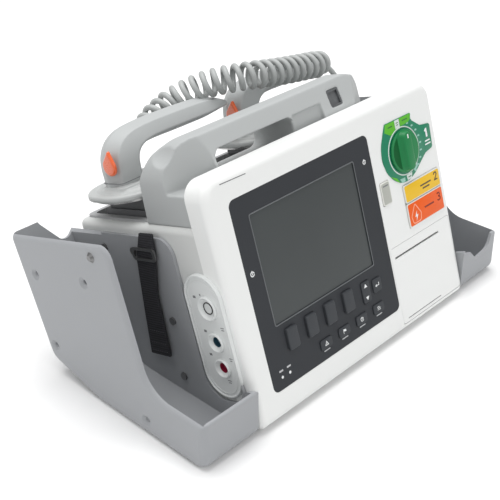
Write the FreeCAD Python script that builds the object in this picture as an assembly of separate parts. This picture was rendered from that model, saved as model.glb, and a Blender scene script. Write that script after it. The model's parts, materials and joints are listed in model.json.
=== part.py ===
import FreeCAD, Part
import math
import os

# Monitor-defibrillator: a case that leans back on its base, a carry handle, two side bins and
# two external paddles that stand in docks on top of the case.
#
# Everything is modelled square to the case, in millimetres:
#   x to the right, n into the case (0 at the front face), u up the front face (0 at the bezel's top).
# stand() then leans each finished shape back and sets it down on its base, with +Z up.

V = FreeCAD.Vector

# Attitude of the case
LEAN = 17.0
BASE_DROP = 195.4
FLOOR_GAP = 4.0

# Case
HALF_WIDTH = 150.0
SLAB_DEPTH = 24.0
SLAB_TOP = 22.0
SLAB_BOTTOM = -204.0
SLAB_CORNER = 16.0
CASE_BACK = 187.0
CASE_TOP = -17.0
WALL = 3.0
SLACK = 0.4

# Display
BEZEL = (-127.6, 48.4, -173.8, 0.0)
BEZEL_CORNER = 6.5
SCREEN = (-108.3, 24.0, -117.9, -18.6)
BEZEL_FACE = 0.3

# Keys below the display: (x, u) of each centre
SOFT_KEYS = [(-94.0, -135.0), (-69.0, -135.0), (-44.0, -135.0), (-19.0, -135.0)]
SOFT_KEY_SIZE = (13.0, 20.0)
FUNCTION_KEYS = [(-56.5, -159.0), (-31.5, -159.0), (-6.5, -159.0), (18.5, -159.0)]
FUNCTION_KEY_SIZE = (15.0, 9.0)
ROCKER = (6.5, -137.5)
ROCKER_SIZE = (11.0, 21.0)
SELECT_KEY = (22.5, -137.2)
SELECT_KEY_SIZE = (12.0, 13.0)
KEY_TRAVEL = 0.8
KEY_PROUD = 0.9
SOFT_KEY_PROUD = 2.6
BOARD_FACE = 15.0
BOARD = 1.6

# Therapy controls
DIAL = (95.0, -31.5)
DIAL_PLATE_RADIUS = 30.0
KNOB_RADIUS = 20.3
KNOB_REACH = 9.0
SHAFT_RADIUS = 3.0
CHARGE = (84.0, 140.5, -80.9, -63.0)
SHOCK = (84.0, 140.5, -105.5, -81.7)
SYNC = (53.0, 66.0, -72.0, -50.0)
PAD_TRAVEL = 1.5
PAD_PROUD = 1.6

# Printer
DOOR = (50.5, 144.5, -191.5, -114.5)
DOOR_PIVOT = (5.2, -188.5)
DOOR_SWEEP = 5.9
PAPER_SLOT_U = -125.0
ROLL_AXIS = (34.0, -160.0)
ROLL_RADIUS = 19.0
PLATEN_AXIS = (9.2, -133.0)
PLATEN_RADIUS = 5.0
PRINTER_X = (57.0, 138.0)

# Carry handle
HANDLE_X = (-146.0, 102.0)
HANDLE_N = (25.0, 87.0)
HANDLE_TOP = 51.0
HANDLE_LEDGE = 10.0
GRIP_GAP = (-105.0, -8.0, 8.0, 35.0)
RECESS_END = 29.0
THUMB_CENTRE = (-154.0, 53.0, 55.0)
THUMB_RADIUS = 25.5
# The handle's front face leans back above the line (n, u); the window is measured along that face
HANDLE_LEAN = 14.0
HANDLE_FOOT = (25.0, 19.0)
WINDOW = (41.7, 57.3, 26.9, 43.1)

# Side connectors: (n, u) centres on the left side
PANEL_CENTRE = (30.5, -112.0)
PANEL_SIZE = (45.0, 114.0)
ECG = (27.0, -85.0)
SENSORS = [(27.0, -116.0), (27.0, -140.0)]
THERAPY = (118.0, -62.0)

# Side bins
BIN_OUTER = 213.0
BIN_INNER = 150.3
BIN_WALL = 3.0
BIN_FRONT_Y = -53.0
BIN_FRONT_Z = 48.0
BIN_TOP = -7.0
BIN_BACK = 203.0
PANEL_FRONT = 53.0
PANEL_HOLES = [(177.5, -44.5), (103.0, -44.5), (182.0, -115.0), (69.5, -167.0)]
WALL_HOLES = [(150.0, -40.0), (107.0, -40.0), (78.0, -103.0), (84.0, -158.0)]
RIVET = (79.7, -19.2)

# Paddles: x of each post's left face, n of both grips, and the bar's sections as
# (distance from the post's left face, u of the centre, half height, half depth)
PADDLE_X = {"left": -145.0, "right": 5.0}
GRIP_N = 125.0
POST_HALF = 14.5
PLATE_LOW = 4.0
PLATE_SIZE = (92.0, 84.0)
PLATE_OFFSET = 33.0
PLATE_N = 130.0
BAR_SECTIONS = [(20, 50, 11, 13), (50, 51.5, 10.5, 12.5), (85, 51.5, 10.5, 12), (116, 50.5, 9.5, 11),
                (137, 48.5, 6, 9), (147, 47.5, 3.2, 6)]
PADDLE_BUTTON = (121.0, 35.0)
TRAY = (-143.0, 143.0, 88.5, 183.0)
TRAY_FLOOR = -30.0

# Curly cord: outer diameter of the coil, diameter of the cord, and the routes of both
COIL_DIAMETER = 27.0
CORD_DIAMETER = 5.5
COIL_ROUTE = [(-101, 157, 29), (-72, 158, 46), (-50, 157, 54), (-32, 154, 61), (-13, 126, 69.5),
              (14, 99.5, 68), (45, 96.5, 62), (80, 98, 57), (112, 100, 53)]
DROP_ROUTE = [(112.8, 100, 52.8), (130, 104, 46), (147, 108, 24), (161, 112, -4), (165, 118, -36)]
GLAND_ROOT = (-122.0, 138.5, 27.0)

# Rear faces of the battery and of the mains inlet: x0, x1, u0, u1
BATTERY_FACE = (-132.0, -28.0, -128.0, -62.0)
BATTERY_FRONT = 92.0
INLET_FACE = (60.0, 108.0, -118.0, -86.0)
INLET_DEPTH = 30.0


def leaned(depth, height):
    """Case coordinates (n, u) of a place given square to the floor."""
    lean = math.radians(LEAN)
    rise = height - BASE_DROP
    return (depth * math.cos(lean) - rise * math.sin(lean),
            depth * math.sin(lean) + rise * math.cos(lean))


def point(plane, a, b, level):
    if plane == "xu":
        return V(a, level, b)
    if plane == "nu":
        return V(level, a, b)
    return V(a, b, level)


def outline(points, radii, plane, level):
    """A closed wire through the points, each corner rounded by its radius (0 leaves it sharp)."""
    if not isinstance(radii, (list, tuple)):
        radii = [radii] * len(points)
    places = [point(plane, a, b, level) for a, b in points]
    starts = []
    ends = []
    middles = []
    for i, corner in enumerate(places):
        back = (places[i - 1] - corner).normalize()
        ahead = (places[(i + 1) % len(places)] - corner).normalize()
        half = back.getAngle(ahead) / 2
        reach = radii[i] / math.tan(half)
        starts.append(corner + back * reach)
        ends.append(corner + ahead * reach)
        inward = (back + ahead).normalize()
        middles.append(corner + inward * (radii[i] / math.sin(half) - radii[i]))
    edges = []
    for i, corner in enumerate(places):
        if radii[i] > 0:
            edges.append(Part.Arc(starts[i], middles[i], ends[i]).toShape())
        following = starts[(i + 1) % len(places)]
        if ends[i].distanceToPoint(following) > 1e-6:
            edges.append(Part.LineSegment(ends[i], following).toShape())
    return Part.Wire(edges)


def plate(points, radii, plane, low, high):
    """The outline extruded between two levels of the third direction."""
    face = Part.Face(outline(points, radii, plane, low))
    return face.extrude(point(plane, 0, 0, high - low))


def rectangle(x0, x1, u0, u1):
    return [(x0, u0), (x1, u0), (x1, u1), (x0, u1)]


def block(x0, x1, n0, n1, u0, u1):
    return Part.makeBox(x1 - x0, n1 - n0, u1 - u0, V(x0, n0, u0))


def rod_x(x0, x1, n, u, radius):
    return Part.makeCylinder(radius, x1 - x0, V(x0, n, u), V(1, 0, 0))


def rod_n(x, u, n0, n1, radius):
    return Part.makeCylinder(radius, n1 - n0, V(x, n0, u), V(0, 1, 0))


def rod_u(x, n, u0, u1, radius):
    return Part.makeCylinder(radius, u1 - u0, V(x, n, u0), V(0, 0, 1))


def soften(shape, radius, chosen):
    """Round every edge whose whole length passes the test."""
    edges = [e for e in shape.Edges if all(chosen(v) for v in e.discretize(5))]
    return shape.makeFillet(radius, edges)


def mirrored(shape):
    return shape.mirror(V(0, 0, 0), V(1, 0, 0))


def below_case():
    """Everything below the flat underside of the case."""
    near = leaned(-60, FLOOR_GAP)
    far = leaned(320, FLOOR_GAP)
    deep = leaned(320, -120)
    low = leaned(-60, -120)
    return plate([near, far, deep, low], 0, "nu", -400, 400)


def oval(size, centre, grow=0.0):
    """Corner points and corner radius of the connector panel's long oval."""
    half_n = size[0] / 2 + grow
    half_u = size[1] / 2 + grow
    corners = rectangle(centre[0] - half_n, centre[0] + half_n, centre[1] - half_u, centre[1] + half_u)
    return corners, half_n - 0.5


def front_housing():
    slab = plate(rectangle(-HALF_WIDTH, HALF_WIDTH, SLAB_BOTTOM, SLAB_TOP), SLAB_CORNER, "xu", 0, SLAB_DEPTH)
    slab = slab.cut(below_case())
    slab = soften(slab, 7, lambda p: p.y < 0.6)
    inner = plate(rectangle(-HALF_WIDTH + WALL, HALF_WIDTH - WALL, SLAB_BOTTOM, SLAB_TOP - WALL),
                  SLAB_CORNER - WALL, "xu", WALL, SLAB_DEPTH + 1)
    floor = below_case()
    floor.translate(V(0, 0, WALL))
    shell = slab.cut(inner.cut(floor))
    x0, x1, u0, u1 = BEZEL
    shell = shell.cut(plate(rectangle(x0, x1, u0, u1), BEZEL_CORNER, "xu", -1, WALL + 1))
    for x0, x1, u0, u1 in (SYNC, (CHARGE[0], CHARGE[1], SHOCK[2], CHARGE[3])):
        hole = rectangle(x0 - SLACK, x1 + SLACK, u0 - SLACK, u1 + SLACK)
        shell = shell.cut(plate(hole, 2, "xu", -1, WALL + 1))
    x0, x1, u0, u1 = DOOR
    shell = shell.cut(plate(rectangle(x0 - SLACK, x1 + SLACK, u0 - SLACK, u1 + SLACK), 3, "xu", -1, WALL + 1))
    # Room below the hinge line for the foot of the swinging door.
    shell = shell.cut(rod_x(x0 - SLACK, x1 + SLACK, DOOR_PIVOT[0], DOOR_PIVOT[1], DOOR_SWEEP))
    shell = shell.cut(rod_n(DIAL[0], DIAL[1], -1, WALL + 1, SHAFT_RADIUS + 1))
    corners, radius = oval(PANEL_SIZE, PANEL_CENTRE, -4)
    return shell.cut(plate(corners, radius, "nu", -HALF_WIDTH - 1, -HALF_WIDTH + WALL + 1))


def rear_housing():
    body = block(-HALF_WIDTH, HALF_WIDTH, SLAB_DEPTH, CASE_BACK, SLAB_BOTTOM, CASE_TOP).cut(below_case())
    body = soften(body, 6, lambda p: p.y > CASE_BACK - 0.1 or (p.z > CASE_TOP - 0.1 and abs(p.x) > HALF_WIDTH - 1))
    inner = block(-HALF_WIDTH + WALL, HALF_WIDTH - WALL, SLAB_DEPTH - 1, CASE_BACK - WALL,
                  SLAB_BOTTOM, CASE_TOP - WALL)
    floor = below_case()
    floor.translate(V(0, 0, WALL))
    body = body.cut(inner.cut(floor))
    x0, x1, n0, n1 = TRAY
    body = body.cut(block(x0 + 3, x1 - 3, n0 + 3, n1 - 3, CASE_TOP - WALL - 1, CASE_TOP + 1))
    x0, x1, u0, u1 = BATTERY_FACE
    body = body.cut(block(x0 - SLACK, x1 + SLACK, CASE_BACK - WALL - 1, CASE_BACK + 1, u0 - SLACK, u1 + SLACK))
    x0, x1, u0, u1 = INLET_FACE
    body = body.cut(block(x0, x1, CASE_BACK - WALL - 1, CASE_BACK + 1, u0, u1))
    corners, radius = oval(PANEL_SIZE, PANEL_CENTRE, -4)
    body = body.cut(plate(corners, radius, "nu", -HALF_WIDTH - 1, -HALF_WIDTH + WALL + 1))
    return body.cut(rod_x(HALF_WIDTH - WALL - 1, HALF_WIDTH + 1, THERAPY[0], THERAPY[1], 15.5))


def key(centre, size, proud):
    """A key: cap through the bezel, flange behind it, stem that stops its travel short of the board."""
    x, u = centre
    half_x = size[0] / 2
    half_u = size[1] / 2
    cap = plate(rectangle(x - half_x, x + half_x, u - half_u, u + half_u), 2, "xu", -proud, 3.6)
    flange = block(x - half_x - 1, x + half_x + 1, 3.6, 4.6, u - half_u - 1, u + half_u + 1)
    stem = rod_n(x, u, 4.6, BOARD_FACE - KEY_TRAVEL - 0.1, 2)
    return cap.fuse([flange, stem])


def pad(face, proud):
    """A wide push pad: held in by side flanges, pressed on a stem at its centre."""
    x0, x1, u0, u1 = face
    cap = plate(rectangle(x0, x1, u0, u1), 2, "xu", -proud, 3.6)
    flange = block(x0 - 1.5, x1 + 1.5, 3.6, 4.6, u0 + 0.5, u1 - 0.5)
    stem = rod_n((x0 + x1) / 2, (u0 + u1) / 2, 4.6, BOARD_FACE - PAD_TRAVEL - 0.1, 3)
    return cap.fuse([flange, stem])


def key_hole(centre, size):
    x, u = centre
    half_x = size[0] / 2 + SLACK
    half_u = size[1] / 2 + SLACK
    return plate(rectangle(x - half_x, x + half_x, u - half_u, u + half_u), 2 + SLACK, "xu", -1, WALL + 1)


def display():
    gap = 0.2
    x0, x1, u0, u1 = BEZEL
    bezel = plate(rectangle(x0 + gap, x1 - gap, u0 + gap, u1 - gap), BEZEL_CORNER - gap, "xu", BEZEL_FACE, WALL)
    bezel = bezel.cut(plate(rectangle(*SCREEN), 1.5, "xu", 0, WALL + 1))
    for centre in SOFT_KEYS:
        bezel = bezel.cut(key_hole(centre, SOFT_KEY_SIZE))
    for centre in FUNCTION_KEYS:
        bezel = bezel.cut(key_hole(centre, FUNCTION_KEY_SIZE))
    bezel = bezel.cut(key_hole(ROCKER, ROCKER_SIZE))
    bezel = bezel.cut(key_hole(SELECT_KEY, SELECT_KEY_SIZE))
    x0, x1, u0, u1 = SCREEN
    glass = plate(rectangle(x0, x1, u0, u1), 1.5, "xu", 1.2, WALL)
    module = block(x0 - 7, x1 + 7, WALL + 0.2, WALL + 10, u0 - 3, u1 + 7)
    return {"display_bezel": bezel, "display_glass": glass, "display_module": module}


def keys():
    made = {}
    for i, centre in enumerate(SOFT_KEYS):
        made["soft_key_%d" % (i + 1)] = key(centre, SOFT_KEY_SIZE, SOFT_KEY_PROUD)
    for i, centre in enumerate(FUNCTION_KEYS):
        made["function_key_%d" % (i + 1)] = key(centre, FUNCTION_KEY_SIZE, KEY_PROUD)
    made["select_key"] = key(SELECT_KEY, SELECT_KEY_SIZE, KEY_PROUD)
    x, u = ROCKER
    half_x = ROCKER_SIZE[0] / 2
    half_u = ROCKER_SIZE[1] / 2
    cap = plate(rectangle(x - half_x, x + half_x, u - half_u + 0.3, u + half_u - 0.3), 2, "xu", -KEY_PROUD, 3.4)
    made["arrow_rocker"] = cap.fuse(rod_x(x - half_x - 2.4, x + half_x + 2.4, 4.2, u, 1.2))
    return made


def control_board():
    shape = [(-125, -170), (46, -170), (46, -112), (144, -112), (144, 14), (34, 14), (34, -128), (-125, -128)]
    board = plate(shape, 0, "xu", BOARD_FACE, BOARD_FACE + BOARD)
    board = board.cut(rod_n(DIAL[0], DIAL[1], BOARD_FACE - 1, BOARD_FACE + 3, 5))
    x, u = ROCKER
    post = block(x - 8.6, x - 7.2, 3.2, BOARD_FACE, u - 3, u + 3)
    post = post.cut(rod_x(x - 9, x - 7, 4.2, u, 1.25))
    other = post.copy()
    other.translate(V(15.8, 0, 0))
    return board.fuse([post, other])


def therapy_controls():
    x, u = DIAL
    plate_disc = rod_n(x, u, -1, 0, DIAL_PLATE_RADIUS)
    tab = plate(rectangle(x + 18, x + 44, u - 9, u + 15), 3, "xu", -1, 0)
    surround = plate_disc.fuse(tab).cut(rod_n(x, u, -2, 1, SHAFT_RADIUS + 1))
    foot = rod_n(x, u, -5, -1.3, KNOB_RADIUS)
    rib = plate(rectangle(x - 5.5, x + 5.5, u - 18.5, u + 18.5), 4, "xu", -KNOB_REACH, -5)
    shaft = rod_n(x, u, -1.3, 19, SHAFT_RADIUS)
    knob = foot.fuse([rib, shaft])
    switch = block(x - 11, x + 11, 6, 14.8, u - 11, u + 11).fuse(rod_n(x, u, 14.8, 22, 4.8))
    switch = switch.cut(rod_n(x, u, 5, 19.5, SHAFT_RADIUS + 0.05))
    return {"dial_plate": surround, "therapy_knob": knob, "selector_switch": switch,
            "charge_button": pad(CHARGE, PAD_PROUD), "shock_button": pad(SHOCK, PAD_PROUD), "sync_button": pad(SYNC, 1.2)}


def printer():
    x0, x1, u0, u1 = DOOR
    pivot_n, pivot_u = DOOR_PIVOT
    a0, a1 = PRINTER_X
    panel = plate(rectangle(x0, x1, u0, u1), 2.6, "xu", 0.2, 2.6)
    panel = panel.cut(block(x0 + 5, x0 + 75, -1, 4, PAPER_SLOT_U - 1, PAPER_SLOT_U + 1))
    barrel = rod_x(x0 + 6, x1 - 6, pivot_n, pivot_u, 2.7)
    pins = rod_x(x0 + 2.4, x1 - 2.4, pivot_n, pivot_u, 1.2)
    ears = []
    for x in (a0 + 3, a1 - 5):
        ear = block(x, x + 2, 2.4, PLATEN_AXIS[0] + 2.6, PLATEN_AXIS[1] - 3, PLATEN_AXIS[1] + 3)
        ears.append(ear.cut(rod_x(x - 1, x + 3, PLATEN_AXIS[0], PLATEN_AXIS[1], 1.55)))
    door = panel.fuse([barrel, pins] + ears)

    walls = [(13, -122), (58, -122), (58, -176), (9, -189), (8, -176), (13, -150)]
    sides = [plate(walls, 0, "nu", a0, a0 + 2), plate(walls, 0, "nu", a1 - 2, a1)]
    back = block(a0, a1, 56, 58, -176, -122)
    bottom = plate([(9, -190), (58, -177), (58, -175), (9, -188)], 0, "nu", a0, a1)
    head_bar = block(a0, a1, 18.5, 20.5, -141, -125)
    frame = bottom.fuse(sides + [back, head_bar])
    lugs = []
    for x in (x0 + 2.6, x1 - 5.4):
        arm = block(x, x + 2.8, pivot_n, pivot_n + 5, pivot_u - 2, pivot_u + 2.4)
        lug = rod_x(x, x + 2.8, pivot_n, pivot_u, 2.4).fuse(arm)
        lugs.append(lug.cut(rod_x(x - 1, x + 4, pivot_n, pivot_u, 1.25)))
    tie = block(x0 + 2.6, x1 - 2.6, pivot_n + 3.8, pivot_n + 5.2, pivot_u + 1, pivot_u + 4)
    frame = frame.fuse(lugs + [tie])
    holes = [rod_x(a0 - 1, a0 + 3, ROLL_AXIS[0], ROLL_AXIS[1], 5.05),
             rod_x(a1 - 3, a1 + 1, ROLL_AXIS[0], ROLL_AXIS[1], 5.05)]
    frame = frame.cut(Part.makeCompound(holes))

    roll = rod_x(a0 + 4, a1 - 4, ROLL_AXIS[0], ROLL_AXIS[1], ROLL_RADIUS)
    roll = roll.fuse(rod_x(a0 + 0.2, a1 - 0.2, ROLL_AXIS[0], ROLL_AXIS[1], 5))
    platen = rod_x(a0 + 5.6, a1 - 5.6, PLATEN_AXIS[0], PLATEN_AXIS[1], PLATEN_RADIUS)
    platen = platen.fuse(rod_x(a0 + 2.4, a1 - 2.4, PLATEN_AXIS[0], PLATEN_AXIS[1], 1.5))
    head = block(a0 + 6, a1 - 6, 14.7, 18.5, -139, -127)
    motor = rod_x(a1 - 26, a1 - 2, 45, -131.5, 8.5)
    return {"printer_door": door, "printer_frame": frame, "paper_roll": roll, "platen_roller": platen,
            "print_head": head, "drive_motor": motor}


def lean_back(shape):
    """Turn an upright shape into the plane of the handle's leaning front face."""
    shape = shape.copy()
    n, u = HANDLE_FOOT
    shape.rotate(V(0, n, u), V(1, 0, 0), -HANDLE_LEAN)
    return shape


def carry_handle():
    x0, x1 = HANDLE_X
    n0, n1 = HANDLE_N
    foot_n, foot_u = HANDLE_FOOT
    front = plate([(x0, CASE_TOP), (x1, CASE_TOP), (x1, 20), (x1 - 5, 36), (x1 - 17, 46), (x1 - 32, HANDLE_TOP),
                   (x0, HANDLE_TOP)],
                  [0, 0, 8, 12, 12, 12, 32], "xu", n0, n1)
    lip_n = foot_n + (HANDLE_TOP - foot_u) * math.tan(math.radians(HANDLE_LEAN))
    side = plate([(n0, CASE_TOP), (n1, CASE_TOP), (n1 - 2, 8), (83, 22), (70, 41), (55, HANDLE_TOP),
                  (lip_n, HANDLE_TOP), (foot_n, foot_u)],
                 [0, 0, 6, 14, 16, 12, 2, 0], "nu", x0 - 1, x1 + 3)
    swept = plate([(x0, n1), (x0, 51), (-108, 29), (-108, n0), (70, n0), (x1, 46), (x1, n1)], 0, "xn",
                  HANDLE_LEDGE, HANDLE_TOP + 1)
    lower = block(x0, x1, n0, n1, CASE_TOP, HANDLE_LEDGE)
    handle = front.common(side).common(swept.fuse(lower))
    g0, g1, gap_low, gap_high = GRIP_GAP
    gap = plate(rectangle(g0, g1, gap_low, gap_high), 9, "xu", n0 - 1, n1 + 1)
    handle = handle.cut(gap)
    handle = handle.cut(block(g1 - 1, RECESS_END, n0 - 1, n0 + 6, HANDLE_LEDGE, gap_high))
    handle = handle.cut(Part.makeSphere(THUMB_RADIUS, V(*THUMB_CENTRE)))
    for a, b in ((x0 + 6, g0 - 8), (g1 + 14, x1 - 8)):
        handle = handle.cut(block(a, b, n0 + 6, n1 - 12, CASE_TOP - 1, HANDLE_LEDGE - 3))
    x0, x1, u0, u1 = WINDOW
    return handle.cut(lean_back(block(x0, x1, n0 - 3, n0 + 5, u0, u1)))


def connectors():
    corners, radius = oval(PANEL_SIZE, PANEL_CENTRE)
    cover = plate(corners, radius, "nu", -HALF_WIDTH - 2.5, -HALF_WIDTH)
    face = -HALF_WIDTH - 2.5
    made = {}
    sockets = {"ecg_socket": [(ECG, 11.0, 7.0)],
               "sensor_sockets": [(place, 9.0, 5.0) for place in SENSORS]}
    for name, group in sockets.items():
        solids = []
        for (n, u), outer, bore in group:
            cover = cover.cut(rod_x(face - 1, -HALF_WIDTH + 1, n, u, outer - 1.5))
            ring = rod_x(face - 2.5, face, n, u, outer)
            body = rod_x(face, face + 16, n, u, outer - 1.5)
            shell = ring.fuse(body).cut(rod_x(face - 3, face + 12, n, u, bore))
            solids.append(shell)
        made[name] = Part.makeCompound(solids)
    made["connector_panel"] = cover
    n, u = THERAPY
    ring = rod_x(HALF_WIDTH, HALF_WIDTH + 2.2, n, u, 19).fuse(rod_x(HALF_WIDTH - 16, HALF_WIDTH, n, u, 15))
    made["therapy_socket"] = ring.cut(rod_x(HALF_WIDTH - 13, HALF_WIDTH + 3, n, u, 12.1))
    insert = rod_x(HALF_WIDTH - 12, HALF_WIDTH + 2.4, n, u, 12)
    shell = rod_x(HALF_WIDTH + 2.4, HALF_WIDTH + 26, n, u, 15)
    boot = Part.makeCone(6.5, 3.6, 15, V(DROP_ROUTE[-1][0], n, DROP_ROUTE[-1][2] - 15), V(0, 0, 1))
    made["therapy_plug"] = insert.fuse([shell, boot])
    return made


def bin_profile():
    """The bin's side view, with the radius of each corner."""
    low_front = leaned(BIN_FRONT_Y, BIN_FRONT_Z)
    toe = leaned(BIN_FRONT_Y, 0)
    heel = leaned(86, 0)
    rise = leaned(149, 15)
    step_u = (BIN_FRONT_Z - BASE_DROP + PANEL_FRONT * math.sin(math.radians(LEAN))) / math.cos(math.radians(LEAN))
    points = [low_front, toe, heel, rise, (BIN_BACK, BIN_TOP), (PANEL_FRONT, BIN_TOP), (PANEL_FRONT, step_u)]
    return points, [2, 12, 45, 16, 5, 13, 30]


def side_bin(dip):
    """The left bin; dip lowers the middle of its front wall."""
    points, radii = bin_profile()
    shell = plate(points, radii, "nu", -BIN_OUTER, -BIN_INNER)
    shell = soften(shell, 7, lambda p: p.x < -BIN_OUTER + 0.1 and p.z < -30 and (p.y > 60 or p.z < p.y * 0.31 - 150))
    front = leaned(BIN_FRONT_Y + BIN_WALL, BIN_WALL)
    front_high = leaned(BIN_FRONT_Y + BIN_WALL, 300)
    heel = leaned(85, BIN_WALL)
    rise = leaned(145, 17.5)
    hollow = plate([front_high, front, heel, rise, (BIN_BACK - BIN_WALL, BIN_TOP), (BIN_BACK + 3, 100)],
                   [0, 9, 42, 13, 0, 0], "nu", -BIN_OUTER + BIN_WALL, -BIN_INNER - BIN_WALL)
    shell = shell.cut(hollow)

    # The inner wall keeps below the case's top edge and clear of the connector panel.
    window_u = PANEL_CENTRE[1] - PANEL_SIZE[1] / 2 - 3.5
    edge_n = PANEL_CENTRE[0] + PANEL_SIZE[0] / 2 + 1.5
    lip = leaned(BIN_FRONT_Y, BIN_FRONT_Z)
    clear = plate([(lip[0] - 5, lip[1]), (lip[0] + 16, lip[1] - 2), (7, window_u), (edge_n, window_u),
                   (edge_n, -26), (BIN_BACK + 9, -26), (BIN_BACK + 9, 60), (lip[0] - 5, 60)],
                  [0, 6, 18, 21, 16, 0, 0, 0], "nu", -BIN_INNER - BIN_WALL - 0.1, -BIN_INNER + 1)
    shell = shell.cut(clear)

    # The back wall's top edge is a wave: high at the outer panel, low in the middle of the bin.
    wave = plate([(-BIN_OUTER + 16, 40), (-BIN_OUTER + 30, -9), (-BIN_INNER - 12, -36), (-BIN_INNER + 2, -24),
                  (-BIN_INNER + 2, 40)], [0, 14, 9, 0, 0], "xu", 150, BIN_BACK + 9)
    panel_band = block(-BIN_OUTER - 1, -BIN_OUTER + BIN_WALL, 140, BIN_BACK + 10, -60, 60)
    shell = shell.cut(wave.cut(panel_band))
    if dip > 0:
        top = leaned(BIN_FRONT_Y, BIN_FRONT_Z)[1]
        scoop = plate([(-BIN_OUTER + 7, top + 12), (-BIN_OUTER + 17, top - dip), (-BIN_INNER - 24, top - dip - 3),
                       (-BIN_INNER - 12, top - dip + 9), (-BIN_INNER - 3.1, top - dip + 9),
                       (-BIN_INNER - 3.1, top + 12)],
                      [0, 11, 5, 4, 0, 0], "xu", -40, 10)
        shell = shell.cut(scoop)

    for n, u in PANEL_HOLES:
        shell = shell.cut(rod_x(-BIN_OUTER - 1, -BIN_OUTER + BIN_WALL + 1, n, u, 2.6))
        sink = Part.makeCone(5.6, 2.6, 2.0, V(-BIN_OUTER, n, u), V(1, 0, 0))
        shell = shell.cut(sink)
    for n, u in WALL_HOLES:
        shell = shell.cut(rod_x(-BIN_INNER - BIN_WALL - 1, -BIN_INNER + 1, n, u, 2.1))
    return shell.cut(rod_x(-BIN_OUTER - 1, -BIN_OUTER + BIN_WALL + 1, RIVET[0], RIVET[1], 2))


def right_bin():
    opening = rod_x(BIN_INNER - 1, BIN_INNER + BIN_WALL + 1, THERAPY[0], THERAPY[1], 20)
    return mirrored(side_bin(14)).cut(opening)


def fasteners():
    """Bin screws and the strap's snap rivets, on both sides."""
    solids = []
    for n, u in WALL_HOLES:
        head = rod_x(-BIN_INNER - BIN_WALL - 1.8, -BIN_INNER - BIN_WALL, n, u, 3.6)
        shank = rod_x(-BIN_INNER - BIN_WALL, -BIN_INNER, n, u, 2)
        solids.append(head.fuse(shank))
    n, u = RIVET
    cap = Part.makeCone(4.6, 2.4, 2.2, V(-BIN_OUTER, n, u), V(-1, 0, 0))
    stem = rod_x(-BIN_OUTER, -BIN_OUTER + BIN_WALL, n, u, 1.95)
    tail = rod_x(-BIN_OUTER + BIN_WALL, -BIN_OUTER + BIN_WALL + 1.4, n, u, 4)
    solids.append(cap.fuse([stem, tail]))
    solids += [mirrored(solid) for solid in solids]
    return Part.makeCompound(solids)


def strap_parts():
    face = -BIN_INNER - BIN_WALL
    belt = plate([(70, -21), (88, -21), (101, -45), (112, -100), (119, -139), (92, -139), (86, -78), (74, -42)],
                 1, "nu", face - 3.6, face - 2)
    ring = plate(rectangle(72, 103, -46, -34), 4, "nu", face - 5.4, face - 3.8)
    ring = ring.cut(plate(rectangle(75, 100, -43.4, -36.6), 2, "nu", face - 6, face - 3))
    return {"strap": belt, "strap_ring": ring}


def tray_and_docks():
    x0, x1, n0, n1 = TRAY
    flange = plate(rectangle(x0, x1, n0, n1), 8, "xn", CASE_TOP, CASE_TOP + 2)
    basin = plate(rectangle(x0 + 3.4, x1 - 3.4, n0 + 3.4, n1 - 3.4), 6, "xn", TRAY_FLOOR, CASE_TOP)
    hollow = plate(rectangle(x0 + 6, x1 - 6, n0 + 6, n1 - 6), 5, "xn", TRAY_FLOOR + 2.5, CASE_TOP + 3)
    tray = flange.fuse(basin).cut(hollow)
    docks = []
    floor = TRAY_FLOOR + 2.5
    for left in PADDLE_X.values():
        middle = left + PLATE_OFFSET
        foot = block(middle - 23, middle + 28, PLATE_N - 30, PLATE_N + 30, floor, -10)
        neck = block(middle - 20, middle + 24, PLATE_N - 26, PLATE_N + 26, -10, 0.8)
        slot = block(middle - 14, middle + 18, PLATE_N - 17, PLATE_N + 17, -8, 2)
        docks.append(foot.fuse(neck).cut(slot))
    return {"paddle_tray": tray, "paddle_docks": Part.makeCompound(docks)}


def paddle(side):
    left = PADDLE_X[side]
    middle = left + PLATE_OFFSET
    half_x = PLATE_SIZE[0] / 2
    half_n = PLATE_SIZE[1] / 2
    rim = plate(rectangle(middle - half_x, middle + half_x, PLATE_N - half_n, PLATE_N + half_n), 36, "xn",
                PLATE_LOW, PLATE_LOW + 6)
    skirt = plate(rectangle(middle - 40, middle + 36, PLATE_N - 34, PLATE_N + 34), 30, "xn",
                  PLATE_LOW + 6, PLATE_LOW + 9)
    electrode = plate(rectangle(middle - half_x + 5, middle + half_x - 5, PLATE_N - half_n + 5, PLATE_N + half_n - 5),
                      32, "xn", PLATE_LOW - 2.6, PLATE_LOW)
    foot = PLATE_LOW + 9
    shape = [(0, foot), (0, 38), (7, 53), (24, 61), (52, 62), (52, 41), (32, 38), (32, foot)]
    post = plate([(left + x, u) for x, u in shape], [0, 14, 12, 12, 5, 5, 10, 0], "xu",
                 GRIP_N - POST_HALF, GRIP_N + POST_HALF)
    post = soften(post, 5, lambda p: abs(abs(p.y - GRIP_N) - POST_HALF) < 0.01 and p.z > foot + 0.5)
    rings = []
    for x, centre, half_u, half_n in BAR_SECTIONS:
        corners = rectangle(GRIP_N - half_n, GRIP_N + half_n, centre - half_u, centre + half_u)
        rings.append(outline(corners, 0.72 * min(half_n, half_u), "nu", left + x))
    grip = post.fuse(Part.makeLoft(rings, True, True))
    n, u = PADDLE_BUTTON
    grip = grip.cut(rod_x(left - 1, left + 3.5, n, u, 8.6))
    button = rod_x(left - 0.9, left + 1.9, n, u, 8.2)
    return {"paddle_%s_base" % side: rim.fuse(skirt), "paddle_%s_electrode" % side: electrode,
            "paddle_%s_grip" % side: grip, "paddle_%s_button" % side: button}


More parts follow.
